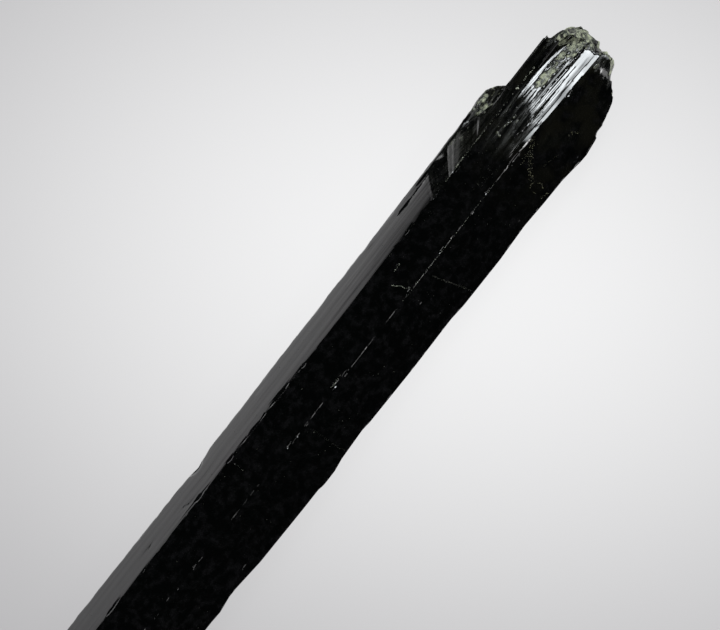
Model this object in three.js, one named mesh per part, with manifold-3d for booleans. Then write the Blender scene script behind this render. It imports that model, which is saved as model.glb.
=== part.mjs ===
// An aegirine crystal, lying on a prism face as it would on a table.
//
// It is one solid: a long, slightly flattened eight-sided prism with a thinner crystal
// grown parallel along its left side. The tip is weathered. The top face slopes down to it
// like a chisel, beside a narrow ledge that stays level. The thinner crystal stops short of
// the tip, and the base is broken off.
//
// Sizes are in millimetres. +X runs along the crystal to its tip and +Z is up. The crystal
// is shaped about its own axis, then set down with the origin under the middle of its box,
// on the flat underside. "Left" is +Y and "right" is -Y.

import * as THREE from "three";
import { mergeVertices } from "three/addons/utils/BufferGeometryUtils.js";
import Module from "manifold-3d";

const wasm = await Module();
wasm.setup();

// Driving dimensions
const BASE_X = -61;          // the broken base
const TIP_X = 61;            // the foremost point of the tip
const HALF_THICKNESS = 5.1;  // axis to the top and bottom faces
const HALF_WIDTH = 7;        // axis to the left side face
const RIGHT_REACH = 7.42;    // axis to the right side face, which leans in under its upper edge
const RIGHT_TURN = 99;       // how far that face is turned from the top, degrees
const PRISM_TURN = 43.5;     // how far each sloping prism face is turned from the top, degrees
const SIDE_TIP_X = 48.15;    // where the thinner crystal stops
const SIDE_THICKNESS = 1.7;  // how far the thinner crystal stands out to the left
const SIDE_ROUNDING = 2.6;   // the length over which its end rounds off
const SLOPE_START_X = 44.2;  // where the top face's right edge begins to slope down to the tip
const SLOPE_DROP = 3.6;      // how far it has sunk at the tip
const SLOPE_BEND = 1.04;     // 1 is a straight slope, and more is one that steepens
const LEDGE_WIDTH = 0.55;    // the level ledge along the top face's left edge
const LEDGE_START_X = 47.6;  // where the slope begins beside it
const STATION_STEP = 6;      // longest stretch between two sections
const ROUGH_CELL = 0.5;      // size of the facets on the rough ends
const WORN_FROM_X = -56;     // the stretch where the long edges carry small chips
const WORN_TO_X = 40;
const MARGIN = 2;            // how far a cutting block stands out past what it cuts

const radians = THREE.MathUtils.degToRad;

// Repeatable numbers between 0 and 1.
function seeded(seed) {
  let state = seed;
  return () => {
    state = (state * 1664525 + 1013904223) % 4294967296;
    return state / 4294967296;
  };
}

// One repeatable number between -1 and 1 for each lattice point.
function latticeValue(i, j, seed) {
  const wave = Math.sin(i * 127.1 + j * 311.7 + seed * 74.7) * 43758.5453;
  return 2 * (wave - Math.floor(wave)) - 1;
}

// Smooth unevenness between -1 and 1, with bumps one unit across.
function unevenness(u, v, seed) {
  const i = Math.floor(u);
  const j = Math.floor(v);
  const fu = THREE.MathUtils.smoothstep(u - i, 0, 1);
  const fv = THREE.MathUtils.smoothstep(v - j, 0, 1);
  const low = THREE.MathUtils.lerp(latticeValue(i, j, seed), latticeValue(i + 1, j, seed), fu);
  const high = THREE.MathUtils.lerp(latticeValue(i, j + 1, seed), latticeValue(i + 1, j + 1, seed), fu);
  return THREE.MathUtils.lerp(low, high, fv);
}

// The value at a place on a line of [place, value] points, level past both ends.
function along(points, place) {
  if (place <= points[0][0]) return points[0][1];
  for (let k = 1; k < points.length; k += 1) {
    const [from, before] = points[k - 1];
    const [to, after] = points[k];
    if (place <= to) return THREE.MathUtils.mapLinear(place, from, to, before, after);
  }
  return points[points.length - 1][1];
}

// How far a slope that begins at start has sunk at x.
function slopeDrop(x, start = SLOPE_START_X) {
  const way = Math.max(0, (x - start) / (TIP_X - start));
  return SLOPE_DROP * way ** SLOPE_BEND;
}

const LEFT_OUTLINE = [
  [-38, 0], [-25, -0.1], [-18, -0.23], [-15.4, -0.45], [-12.5, -0.08], [-5, -0.03], [10, 0.04],
  [26, 0.13], [40, 0.14], [43.4, 0.34], [44.4, 0.5], [46.2, 0.55], [48.6, 0.5],
];
const RIGHT_OUTLINE = [
  [-60, -0.5], [-30, -0.35], [-28.4, -0.26], [-26, -0.56], [-24.4, -0.52], [-20, -0.16],
  [-11, 0], [-8, 0.02], [-7.2, 0.2], [-4.8, 0.2], [-3, -0.07], [1.6, -0.26], [3, -0.12],
  [12, 0], [20, -0.06], [22.4, 0.13], [30, 0.2], [35.4, 0], [39.3, 0.17], [43, 0.24],
  [45.2, 0.46], [46.2, 0.6], [47.5, 0.66], [49.7, 0.38], [51, 0.08], [52.3, -0.3],
  [53.6, -0.6], [54.9, -1], [56.2, -1.75], [57.5, -2.85], [58.8, -3.5],
];

// Each crystal is a list of faces, in order round its axis. A face is turned that many
// degrees from straight up, to the right, and stands at its reach from the axis. Its growth
// adds to the reach along x. Its sink is how much of the slope's drop is taken by the corner
// that it makes with the next face. A ledge is the level part of the last corner's edge.
const MAIN_CRYSTAL = {
  faces: {
    top: { turn: 0, reach: HALF_THICKNESS, sink: 1, growth: [[-34, 0], [-33.6, 0.05], [6, 0.05], [6.5, 0]] },
    rightSlope: { turn: PRISM_TURN, reach: 4.97, sink: 0.3, growth: [[-8, 0], [-7.4, 0.08], [2, 0]] },
    rightSide: { turn: RIGHT_TURN, reach: RIGHT_REACH, sink: 0, growth: RIGHT_OUTLINE },
    rightUnder: { turn: 180 - PRISM_TURN, reach: 5.92, sink: 0, growth: [[18, 0.12], [19, 0], [60, -0.3]] },
    bottom: { turn: 180, reach: HALF_THICKNESS, sink: 0, growth: [[56, 0], [TIP_X, -0.5]] },
    leftUnder: { turn: 180 + PRISM_TURN, reach: 4.98, sink: 0, growth: [[-22, 0], [-21, 0.14], [30, 0.1]] },
    leftSide: { turn: 270, reach: HALF_WIDTH - SIDE_THICKNESS, sink: 0, growth: [[46, 0], [49, -0.2]] },
    leftSlope: { turn: 360 - PRISM_TURN, reach: 5.88, sink: 0, growth: [[30.6, 0], [37, 0.22]] },
  },
  ledge: { width: LEDGE_WIDTH, start: LEDGE_START_X },
};

const SIDE_CRYSTAL = {
  faces: {
    buried: { turn: 90, reach: -3.8, sink: 0, growth: [[0, 0]] },
    foot: { turn: 180, reach: 2.9, sink: 0, growth: [[-40, -0.3], [-38, 0], [20, 0.2], [21, 0]] },
    leftUnder: { turn: 180 + PRISM_TURN, reach: 5.34, sink: 0, growth: [[-5, 0], [-4, -0.1]] },
    leftSide: { turn: 270, reach: HALF_WIDTH, sink: 0, growth: LEFT_OUTLINE },
    leftSlope: { turn: 360 - PRISM_TURN, reach: 5.84, sink: 0, growth: [[30.6, 0], [37, 0.22]] },
  },
};

// A face's distance from the axis at x, before the slope.
function reachAt(face, x) {
  return face.reach + along(face.growth, x);
}

// The point where a face meets the next one at x.
function corner(face, next, x) {
  const a = radians(face.turn);
  const b = radians(next.turn);
  const reachA = reachAt(face, x);
  const reachB = reachAt(next, x);
  const spread = Math.sin(b - a);
  const y = (reachA * Math.cos(b) - reachB * Math.cos(a)) / spread;
  const z = (reachA * Math.sin(b) - reachB * Math.sin(a)) / spread;
  return new THREE.Vector3(x, y, z - face.sink * slopeDrop(x));
}

// The foot of the riser beside a crystal's ledge, from the corner that the ledge starts at.
function ledgeFoot(ledge, edge) {
  return new THREE.Vector3(edge.x, edge.y - ledge.width, edge.z - slopeDrop(edge.x, ledge.start));
}

// The corners of a crystal's section at x, in order.
function sectionAt(crystal, x) {
  const faces = Object.values(crystal.faces);
  const corners = faces.map((face, k) => corner(face, faces[(k + 1) % faces.length], x));
  return crystal.ledge ? [...corners, ledgeFoot(crystal.ledge, corners.at(-1))] : corners;
}

// The places along x where a crystal's faces change, with the long stretches divided.
function stationsOf(crystal, from, to) {
  const places = new Set([from, to]);
  Object.values(crystal.faces).forEach((face) => face.growth.forEach(([x]) => places.add(x)));
  for (let x = SLOPE_START_X; x < to; x += STATION_STEP / 4) places.add(x);
  const sorted = [...places].filter((x) => x >= from && x <= to).sort((p, q) => p - q);
  return sorted.flatMap((x, k) => {
    const stretch = (sorted[k + 1] ?? x) - x;
    const parts = Math.max(1, Math.ceil(stretch / STATION_STEP));
    return Array.from({ length: parts }, (_, part) => x + (stretch * part) / parts);
  });
}

// A closed geometry from points and faces of three or four corners.
function closedGeometry(points, faces) {
  const triangles = faces.flatMap(([a, b, c, d]) => (d === undefined ? [a, b, c] : [a, b, c, a, c, d]));
  const geometry = new THREE.BufferGeometry();
  const coordinates = points.flatMap((point) => point.toArray());
  geometry.setAttribute("position", new THREE.Float32BufferAttribute(coordinates, 3));
  geometry.setIndex(triangles);
  return geometry;
}

// Sections with the same number of corners, joined in a skin and closed at both ends.
// The corners go anticlockwise when they are seen from the side where x is larger.
function loft(sections) {
  const size = sections[0].length;
  const points = sections.flat();
  const faces = [];
  for (let s = 0; s < sections.length - 1; s += 1) {
    for (let k = 0; k < size; k += 1) {
      const next = (k + 1) % size;
      faces.push([s * size + k, s * size + next, (s + 1) * size + next, (s + 1) * size + k]);
    }
  }
  const last = (sections.length - 1) * size;
  for (let k = 1; k < size - 1; k += 1) {
    faces.push([0, k + 1, k]);
    faces.push([last, last + k, last + k + 1]);
  }
  return closedGeometry(points, faces);
}

// A block that starts at a rough surface x = surface(y, z) and fills everything past it,
// as far as farX, for cutting a crystal's end.
function endBlock(farX, surface) {
  const columns = Math.ceil((2 * HALF_WIDTH + 2 * MARGIN) / ROUGH_CELL);
  const rows = Math.ceil((2 * HALF_THICKNESS + 2 * MARGIN) / ROUGH_CELL);
  const points = [];
  for (let j = 0; j <= rows; j += 1) {
    for (let i = 0; i <= columns; i += 1) {
      const y = (i - columns / 2) * ROUGH_CELL;
      const z = (j - rows / 2) * ROUGH_CELL;
      points.push(new THREE.Vector3(surface(y, z), y, z), new THREE.Vector3(farX, y, z));
    }
  }
  const near = (i, j) => 2 * (j * (columns + 1) + i);
  const far = (i, j) => near(i, j) + 1;
  const faces = [];
  for (let j = 0; j < rows; j += 1) {
    for (let i = 0; i < columns; i += 1) {
      faces.push([near(i, j), near(i, j + 1), near(i + 1, j + 1), near(i + 1, j)]);
      faces.push([far(i, j), far(i + 1, j), far(i + 1, j + 1), far(i, j + 1)]);
    }
    faces.push([near(0, j), far(0, j), far(0, j + 1), near(0, j + 1)]);
    faces.push([near(columns, j), near(columns, j + 1), far(columns, j + 1), far(columns, j)]);
  }
  for (let i = 0; i < columns; i += 1) {
    faces.push([near(i, 0), near(i + 1, 0), far(i + 1, 0), far(i, 0)]);
    faces.push([near(i, rows), far(i, rows), far(i + 1, rows), near(i + 1, rows)]);
  }
  const outward = farX > 0 ? faces : faces.map((face) => [...face].reverse());
  return closedGeometry(points, outward);
}

// The tip in plan: how far it reaches at each y.
const TIP_OUTLINE = [
  [-6.2, 55.25], [-5.1, 56.5], [-4.6, 56.7], [-4.2, 57.15], [-3.9, 57.8], [-3.5, 59], [-3, 59.5],
  [-1.8, 59.55], [-1.1, 59.4], [-0.6, 60], [0.2, 60.45], [1.3, 60.5], [2.2, 60.8], [3.4, 60.7],
  [3.9, 60.3], [4.15, 59.8], [4.35, 58.2], [4.7, 57.6], [5.1, 56.6], [5.8, 56],
];
const NOSE_Z = -2.4;          // the height at which the tip reaches farthest
const NOSE_UNDERCUT = 0.25;   // how far it leans back for each step down from there

// How far the tip leans back for each step up from the nose, at each y.
const NOSE_LEAN = [[-4.3, 0.03], [-2.8, 0.15], [-1, 0.24], [1, 0.3], [3, 0.45], [4.4, 0.4], [5.2, 0.03]];

function tipSurface(y, z) {
  const lean = z > NOSE_Z ? along(NOSE_LEAN, y) * (z - NOSE_Z) : NOSE_UNDERCUT * (NOSE_Z - z);
  const grains = 0.35 * unevenness(y * 1.15, z * 0.9, 3) + 0.2 * unevenness(y * 2.4, z * 2, 4);
  return along(TIP_OUTLINE, y) - lean + grains;
}

function sideTipSurface(y, z) {
  const stand = Math.max(0, y - (HALF_WIDTH - SIDE_THICKNESS)) / (SIDE_THICKNESS + 0.5);
  const lean = SIDE_ROUNDING * stand ** 2 + 0.2 * Math.abs(z + 0.4);
  return SIDE_TIP_X - lean + 0.3 * unevenness(y * 1.8, z * 1.4, 5);
}

// The break steps along the cleavage, so it is a stair of flat splinters, not a dome.
function baseSurface(y, z) {
  const splinters = Math.round(1.6 * unevenness(y * 0.35 + z * 0.2, z * 0.3 - y * 0.12, 8) * 2) / 2;
  const grains = 0.35 * unevenness(y * 1.1, z * 1.1, 9);
  return BASE_X + 1.4 + 1.2 * splinters + 0.12 * z + grains;
}

// The height of the sloping top face, between the ledge's foot and the face's right edge.
function slopeHeight(x, y) {
  const section = sectionAt(MAIN_CRYSTAL, x);
  const foot = section.at(-1);
  return THREE.MathUtils.mapLinear(y, foot.y, section[0].y, foot.z, section[0].z);
}

// A groove with pointed ends in the sloping top face.
function flute({ y, from, to, width, depth }) {
  const steps = 5;
  const sections = [];
  for (let step = 0; step <= steps; step += 1) {
    const swell = Math.max(0.08, Math.sin((Math.PI * step) / steps));
    const x = THREE.MathUtils.lerp(from, to, step / steps);
    const surface = slopeHeight(x, y);
    sections.push([
      new THREE.Vector3(x, y - (width * swell) / 2, surface + 0.2),
      new THREE.Vector3(x, y, surface - depth * swell),
      new THREE.Vector3(x, y + (width * swell) / 2, surface + 0.2),
    ]);
  }
  return loft(sections);
}

const FLUTES = [
  { y: 3.0, from: 48, to: 61, width: 0.7, depth: 0.35 },
  { y: 2.3, from: 50, to: 62, width: 0.5, depth: 0.25 },
  { y: 1.3, from: 47, to: 60, width: 0.6, depth: 0.4 },
  { y: 0.75, from: 51, to: 62, width: 0.4, depth: 0.25 },
  { y: -0.1, from: 46, to: 59, width: 0.5, depth: 0.3 },
  { y: -0.75, from: 43, to: 55, width: 0.5, depth: 0.2 },
];

// A chip out of the edge where two faces meet: length along the edge, and how deep it bites.
function chip({ faces: [nameA, nameB], x, length, bite, roll, crystal = MAIN_CRYSTAL }) {
  const at = corner(crystal.faces[nameA], crystal.faces[nameB], x);
  const flake = new THREE.IcosahedronGeometry(1, 0);
  flake.rotateX(roll);
  flake.scale(length / 2, bite * 1.6, bite * 1.6);
  flake.rotateZ(0.06 * Math.sin(3 * roll));
  const outward = new THREE.Vector3(0, at.y, at.z).normalize().multiplyScalar(bite * 0.45);
  flake.translate(at.x + outward.x, at.y + outward.y, at.z + outward.z);
  return flake;
}

const NAMED_CHIPS = [
  { faces: ["leftSide", "leftSlope"], crystal: SIDE_CRYSTAL, x: -15.3, length: 2.6, bite: 0.4, roll: 0.4 },
  { faces: ["leftSide", "leftSlope"], crystal: SIDE_CRYSTAL, x: 28, length: 5.4, bite: 0.45, roll: 1.2 },
  { faces: ["leftSide", "leftSlope"], crystal: SIDE_CRYSTAL, x: 40.5, length: 3.4, bite: 0.4, roll: 2.2 },
  { faces: ["top", "rightSlope"], x: 4.6, length: 1.8, bite: 0.25, roll: 0.9 },
  { faces: ["top", "rightSlope"], x: 19.4, length: 1.6, bite: 0.22, roll: 0.3 },
  { faces: ["top", "rightSlope"], x: 40.6, length: 2.4, bite: 0.3, roll: 1.6 },
  { faces: ["leftSlope", "top"], x: -17.6, length: 2.4, bite: 0.22, roll: 0.6 },
  { faces: ["leftSlope", "top"], x: -1.4, length: 5.2, bite: 0.25, roll: 1.9 },
  { faces: ["rightSlope", "rightSide"], x: 1.6, length: 2.2, bite: 0.3, roll: 0.2 },
  { faces: ["rightSide", "rightUnder"], x: -26, length: 3.2, bite: 0.6, roll: 2.6 },
];

// The long edges that are in the open, where wear can reach them.
const OPEN_EDGES = [
  { faces: ["top", "rightSlope"] },
  { faces: ["rightSlope", "rightSide"] },
  { faces: ["rightSide", "rightUnder"] },
  { faces: ["rightUnder", "bottom"] },
  { faces: ["bottom", "leftUnder"] },
  { faces: ["leftSlope", "top"] },
  { faces: ["foot", "leftUnder"], crystal: SIDE_CRYSTAL },
  { faces: ["leftUnder", "leftSide"], crystal: SIDE_CRYSTAL },
  { faces: ["leftSide", "leftSlope"], crystal: SIDE_CRYSTAL },
];

// The small chips that wear has left along every open edge.
function wearChips() {
  const random = seeded(11);
  const chipsPerEdge = 3;
  return OPEN_EDGES.flatMap((edge) => Array.from({ length: chipsPerEdge }, (_, count) => ({
    ...edge,
    x: WORN_FROM_X + (WORN_TO_X - WORN_FROM_X) * ((count + random()) / chipsPerEdge),
    length: 1 + 2 * random(),
    bite: 0.15 + 0.2 * random(),
    roll: 6 * random(),
  })));
}

// A manifold solid of a closed geometry, and the geometry of a manifold solid.
function toSolid(geometry) {
  const plain = geometry.clone();
  plain.deleteAttribute("normal");
  plain.deleteAttribute("uv");
  const merged = mergeVertices(plain);
  return new wasm.Manifold(new wasm.Mesh({
    numProp: 3,
    vertProperties: new Float32Array(merged.attributes.position.array),
    triVerts: new Uint32Array(merged.index.array),
  }));
}

function toGeometry(solid) {
  const mesh = solid.getMesh();
  const geometry = new THREE.BufferGeometry();
  geometry.setAttribute("position", new THREE.BufferAttribute(mesh.vertProperties, 3));
  geometry.setIndex(new THREE.BufferAttribute(mesh.triVerts, 1));
  return geometry;
}

// A crystal between two places, its ends still plain.
function prism(crystal, from, to) {
  return toSolid(loft(stationsOf(crystal, from, to).map((x) => sectionAt(crystal, x))));
}

function crystalSolid() {
  const beyondTip = TIP_X + MARGIN;
  const beyondBase = BASE_X - MARGIN;
  const sideEnd = toSolid(endBlock(beyondTip + MARGIN, sideTipSurface));
  const tipEnd = toSolid(endBlock(beyondTip + MARGIN, tipSurface));
  const baseEnd = toSolid(endBlock(beyondBase - MARGIN, baseSurface));
  const side = prism(SIDE_CRYSTAL, beyondBase, SIDE_TIP_X + MARGIN).subtract(sideEnd);
  let solid = prism(MAIN_CRYSTAL, beyondBase, beyondTip).add(side).subtract(tipEnd).subtract(baseEnd);
  const cutters = [...FLUTES.map(flute), ...NAMED_CHIPS.map(chip), ...wearChips().map(chip)];
  cutters.forEach((cutter) => {
    solid = solid.subtract(toSolid(cutter));
  });
  return solid;
}

// Sets the crystal down on its underside, with the origin under the middle of its box.
function setDown(geometry) {
  geometry.computeBoundingBox();
  const middle = geometry.boundingBox.getCenter(new THREE.Vector3());
  geometry.translate(-middle.x, -middle.y, -geometry.boundingBox.min.z);
  return geometry;
}

const aegirine = new THREE.MeshStandardMaterial({ color: 0x0a0d0b, roughness: 0.12, metalness: 0 });
const crystal = new THREE.Mesh(setDown(toGeometry(crystalSolid())), aegirine);
crystal.name = "aegirine_crystal";

const group = new THREE.Group();
group.add(crystal);

export default group;
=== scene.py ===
"""An aegirine crystal on a pale studio floor.

The crystal is a long, slightly flattened eight-sided prism, with a thinner crystal grown
parallel along its left side. Its tip is weathered and slopes down like a chisel, and its
base is broken off. It lies on a prism face: +X runs to the tip and +Z is up. "Left" is +Y
and "right" is -Y.

Shapes are worked out in millimetres about the crystal's own axis, and then set down in the
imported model's box, in metres.
"""

from __future__ import annotations

import logging
import math
from collections.abc import Callable, Iterable, Sequence
from dataclasses import dataclass, field
from enum import Enum, IntEnum

import bpy
import numpy as np
from mathutils import Matrix, Vector


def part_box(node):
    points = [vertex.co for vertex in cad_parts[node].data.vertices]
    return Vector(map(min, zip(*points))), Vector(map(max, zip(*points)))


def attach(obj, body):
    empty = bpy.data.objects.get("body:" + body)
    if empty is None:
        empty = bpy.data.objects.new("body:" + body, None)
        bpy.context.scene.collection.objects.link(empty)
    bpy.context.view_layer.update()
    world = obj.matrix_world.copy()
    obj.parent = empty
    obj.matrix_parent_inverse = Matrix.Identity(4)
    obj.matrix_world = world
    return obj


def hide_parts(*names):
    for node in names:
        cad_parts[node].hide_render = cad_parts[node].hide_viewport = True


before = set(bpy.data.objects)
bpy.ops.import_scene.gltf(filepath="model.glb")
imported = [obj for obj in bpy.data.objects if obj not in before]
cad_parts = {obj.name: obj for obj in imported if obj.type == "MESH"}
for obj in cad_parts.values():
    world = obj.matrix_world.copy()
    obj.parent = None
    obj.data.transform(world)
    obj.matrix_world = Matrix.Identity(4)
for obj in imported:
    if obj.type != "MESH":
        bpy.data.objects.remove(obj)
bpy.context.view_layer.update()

LOG = logging.getLogger("aegirine")
NODE = "aegirine_crystal"
BODY = "root"
MM = 0.001

Array = np.ndarray
Points = tuple[tuple[float, float], ...]

TIP_X = 61.0
BASE_X = -61.0
HALF_THICKNESS = 5.1
HALF_WIDTH = 7.0
PRISM_TURN = 43.5
SIDE_THICKNESS = 1.7
SIDE_TIP_X = 48.15
RIGHT_REACH = 7.42


# ---------------------------------------------------------------- repeatable unevenness


def lattice(i: Array, j: Array, seed: float) -> Array:
    """One repeatable number between 0 and 1 for each lattice point.

    Args:
        i: Whole numbers along the first way.
        j: Whole numbers along the second way.
        seed: Picks another set of numbers.

    Returns:
        The numbers.
    """
    wave = np.sin(i * 127.1 + j * 311.7 + seed * 74.7) * 43758.5453
    return wave - np.floor(wave)


def unevenness(u: Array, v: Array, seed: float) -> Array:
    """Smooth unevenness with bumps about one unit across.

    Args:
        u: Places along the first way.
        v: Places along the second way.
        seed: Picks another pattern.

    Returns:
        Heights between -1 and 1.
    """
    i, j = np.floor(u), np.floor(v)
    fu, fv = u - i, v - j
    fu, fv = fu * fu * (3 - 2 * fu), fv * fv * (3 - 2 * fv)
    low = lattice(i, j, seed) * (1 - fu) + lattice(i + 1, j, seed) * fu
    high = lattice(i, j + 1, seed) * (1 - fu) + lattice(i + 1, j + 1, seed) * fu
    return 2 * (low * (1 - fv) + high * fv) - 1


def layered(u: Array, v: Array, seed: float, layers: int = 3) -> Array:
    """Unevenness with finer and finer bumps on it.

    Args:
        u: Places along the first way.
        v: Places along the second way.
        seed: Picks another pattern.
        layers: How many sizes of bump there are.

    Returns:
        Heights, mostly between -1 and 1.
    """
    total = np.zeros(np.broadcast(u, v).shape)
    for layer in range(layers):
        total += unevenness(u * 2.1**layer, v * 2.1**layer, seed + 7 * layer) * 0.55**layer
    return total


def shards(u: Array, v: Array, seed: float) -> Array:
    """A surface broken into flat, tilted shards about one unit across.

    Args:
        u: Places along the first way.
        v: Places along the second way.
        seed: Picks another pattern.

    Returns:
        Heights, mostly between -1 and 1.
    """
    nearest = np.full(np.broadcast(u, v).shape, np.inf)
    height = np.zeros_like(nearest)
    for di in (-1, 0, 1):
        for dj in (-1, 0, 1):
            i, j = np.floor(u) + di, np.floor(v) + dj
            du = u - i - lattice(i, j, seed)
            dv = v - j - lattice(i, j, seed + 1)
            distance = du * du + dv * dv
            tilt = (lattice(i, j, seed + 2) - 0.5) * du + (lattice(i, j, seed + 3) - 0.5) * dv
            shard = 2 * lattice(i, j, seed + 4) - 1 + 1.4 * tilt
            height = np.where(distance < nearest, shard, height)
            nearest = np.minimum(distance, nearest)
    return height


def ramp(value: Array, start: float | Array, end: float | Array) -> Array:
    """Goes smoothly from 0 at start to 1 at end.

    Args:
        value: The values to place.
        start: Where it leaves 0.
        end: Where it reaches 1.

    Returns:
        The share of the way, between 0 and 1.
    """
    way = np.clip((value - start) / (end - start), 0, 1)
    return way * way * (3 - 2 * way)


def along(points: Points, place: Array) -> Array:
    """The height of a line of (place, height) points, level past both ends.

    Args:
        points: The line's points, in order.
        place: Where it is read.

    Returns:
        The heights.
    """
    places, heights = zip(*points)
    return np.interp(place, places, heights)


# ---------------------------------------------------------------- the crystal's own shape


@dataclass(frozen=True)
class PrismFace:
    """One flat face of a prism.

    Attributes:
        turn: Degrees from straight up, towards the right.
        reach: Distance from the axis, mm.
        growth: How growth steps change the reach along x, as (x, change) points.
    """

    turn: float
    reach: float
    growth: Points = ((0.0, 0.0),)

    def reach_at(self, x: Array) -> Array:
        """The face's distance from the axis at each x."""
        return self.reach + along(self.growth, x)

    def normal(self) -> Array:
        """The (y, z) direction that the face looks in."""
        angle = math.radians(self.turn)
        return np.array([-math.sin(angle), math.cos(angle)])

    def meet(self, other: PrismFace, x: Array) -> Array:
        """Finds the corner that this face makes with another.

        Args:
            other: The face that it meets.
            x: Places along the crystal.

        Returns:
            The corner's (y, z), with one more axis than x.
        """
        a, b = math.radians(self.turn), math.radians(other.turn)
        mine, theirs = self.reach_at(x), other.reach_at(x)
        spread = math.sin(b - a)
        y = (mine * math.cos(b) - theirs * math.cos(a)) / spread
        z = (mine * math.sin(b) - theirs * math.sin(a)) / spread
        return np.stack([y, z], -1)


LEFT_OUTLINE: Points = (
    (-38, 0), (-25, -0.1), (-18, -0.23), (-15.4, -0.45), (-12.5, -0.08), (-5, -0.03), (10, 0.04),
    (26, 0.13), (40, 0.14), (43.4, 0.34), (44.4, 0.5), (46.2, 0.55), (48.6, 0.5),
)
RIGHT_OUTLINE: Points = (
    (-60, -0.5), (-30, -0.35), (-28.4, -0.26), (-26, -0.56), (-24.4, -0.52), (-20, -0.16),
    (-11, 0), (-8, 0.02), (-7.2, 0.2), (-4.8, 0.2), (-3, -0.07), (1.6, -0.26), (3, -0.12),
    (12, 0), (20, -0.06), (22.4, 0.13), (30, 0.2), (35.4, 0), (39.3, 0.17), (43, 0.24),
    (45.2, 0.46), (46.2, 0.6), (47.5, 0.66), (49.7, 0.38), (51, 0.08), (52.3, -0.3),
    (53.6, -0.6), (54.9, -1.0), (56.2, -1.75), (57.5, -2.85), (58.8, -3.5),
)


class Strip(IntEnum):
    """The strips of the skin, in order round the axis from the top to the right."""

    TOP = 0
    RIGHT_SLOPE = 1
    RIGHT_SIDE = 2
    RIGHT_UNDER = 3
    BOTTOM = 4
    LEFT_UNDER = 5
    FOOT = 6
    SIDE_UNDER = 7
    SIDE_LEFT = 8
    LEFT_SLOPE = 9

    def before(self) -> Strip:
        """The strip on this one's left, which shares the edge where it starts."""
        return Strip((self - 1) % len(Strip))

    def after(self) -> Strip:
        """The strip on this one's right."""
        return Strip((self + 1) % len(Strip))


@dataclass(frozen=True)
class PrismFaces:
    """The faces of the main crystal, and those of the thinner one beside it."""

    top: PrismFace = PrismFace(0, HALF_THICKNESS, ((-34, 0), (-33.6, 0.05), (6, 0.05), (6.5, 0)))
    right_slope: PrismFace = PrismFace(PRISM_TURN, 4.97, ((-8, 0), (-7.4, 0.08), (2, 0)))
    right_side: PrismFace = PrismFace(99, RIGHT_REACH, RIGHT_OUTLINE)
    right_under: PrismFace = PrismFace(180 - PRISM_TURN, 5.92, ((18, 0.12), (19, 0), (60, -0.3)))
    bottom: PrismFace = PrismFace(180, HALF_THICKNESS, ((56, 0), (61, -0.5)))
    left_under: PrismFace = PrismFace(180 + PRISM_TURN, 4.98, ((-22, 0), (-21, 0.14), (30, 0.1)))
    left_side: PrismFace = PrismFace(270, HALF_WIDTH - SIDE_THICKNESS, ((46, 0), (49, -0.2)))
    left_slope: PrismFace = PrismFace(360 - PRISM_TURN, 5.88, ((30.6, 0), (37, 0.22)))
    foot: PrismFace = PrismFace(180, 2.9, ((-40, -0.3), (-38, 0), (20, 0.2), (21, 0)))
    side_under: PrismFace = PrismFace(180 + PRISM_TURN, 5.34, ((-5, 0), (-4, -0.1)))
    side_left: PrismFace = PrismFace(270, HALF_WIDTH, LEFT_OUTLINE)

    def of(self, strip: Strip) -> PrismFace:
        """The face that a strip of the skin lies on."""
        return (
            self.top, self.right_slope, self.right_side, self.right_under, self.bottom,
            self.left_under, self.foot, self.side_under, self.side_left, self.left_slope,
        )[strip]


@dataclass(frozen=True)
class TipSlope:
    """How the top faces sink towards the tip.

    Attributes:
        drop: How far they have sunk at the tip, mm.
        bend: 1 is a straight slope, and more is one that steepens.
        onset: Where the top face's right edge begins to sink; its left edge never does.
        ease: How gently it begins, mm.
        drift: How far the right edge moves to the right for each mm that it sinks.
        flank_share: How much of the drop the upper right edge takes.
    """

    drop: float = 3.6
    bend: float = 1.04
    onset: float = 44.2
    ease: float = 1.1
    drift: float = 0.05
    flank_share: float = 0.3

    def sunk(self, x: Array, onset: float | Array) -> Array:
        """How far the slope that begins at onset has sunk at x."""
        past = x - onset
        eased = (past + np.sqrt(past**2 + self.ease**2)) / 2
        way = np.where(past > -3 * self.ease, eased, 0) / (TIP_X - onset)
        return self.drop * way**self.bend


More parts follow.
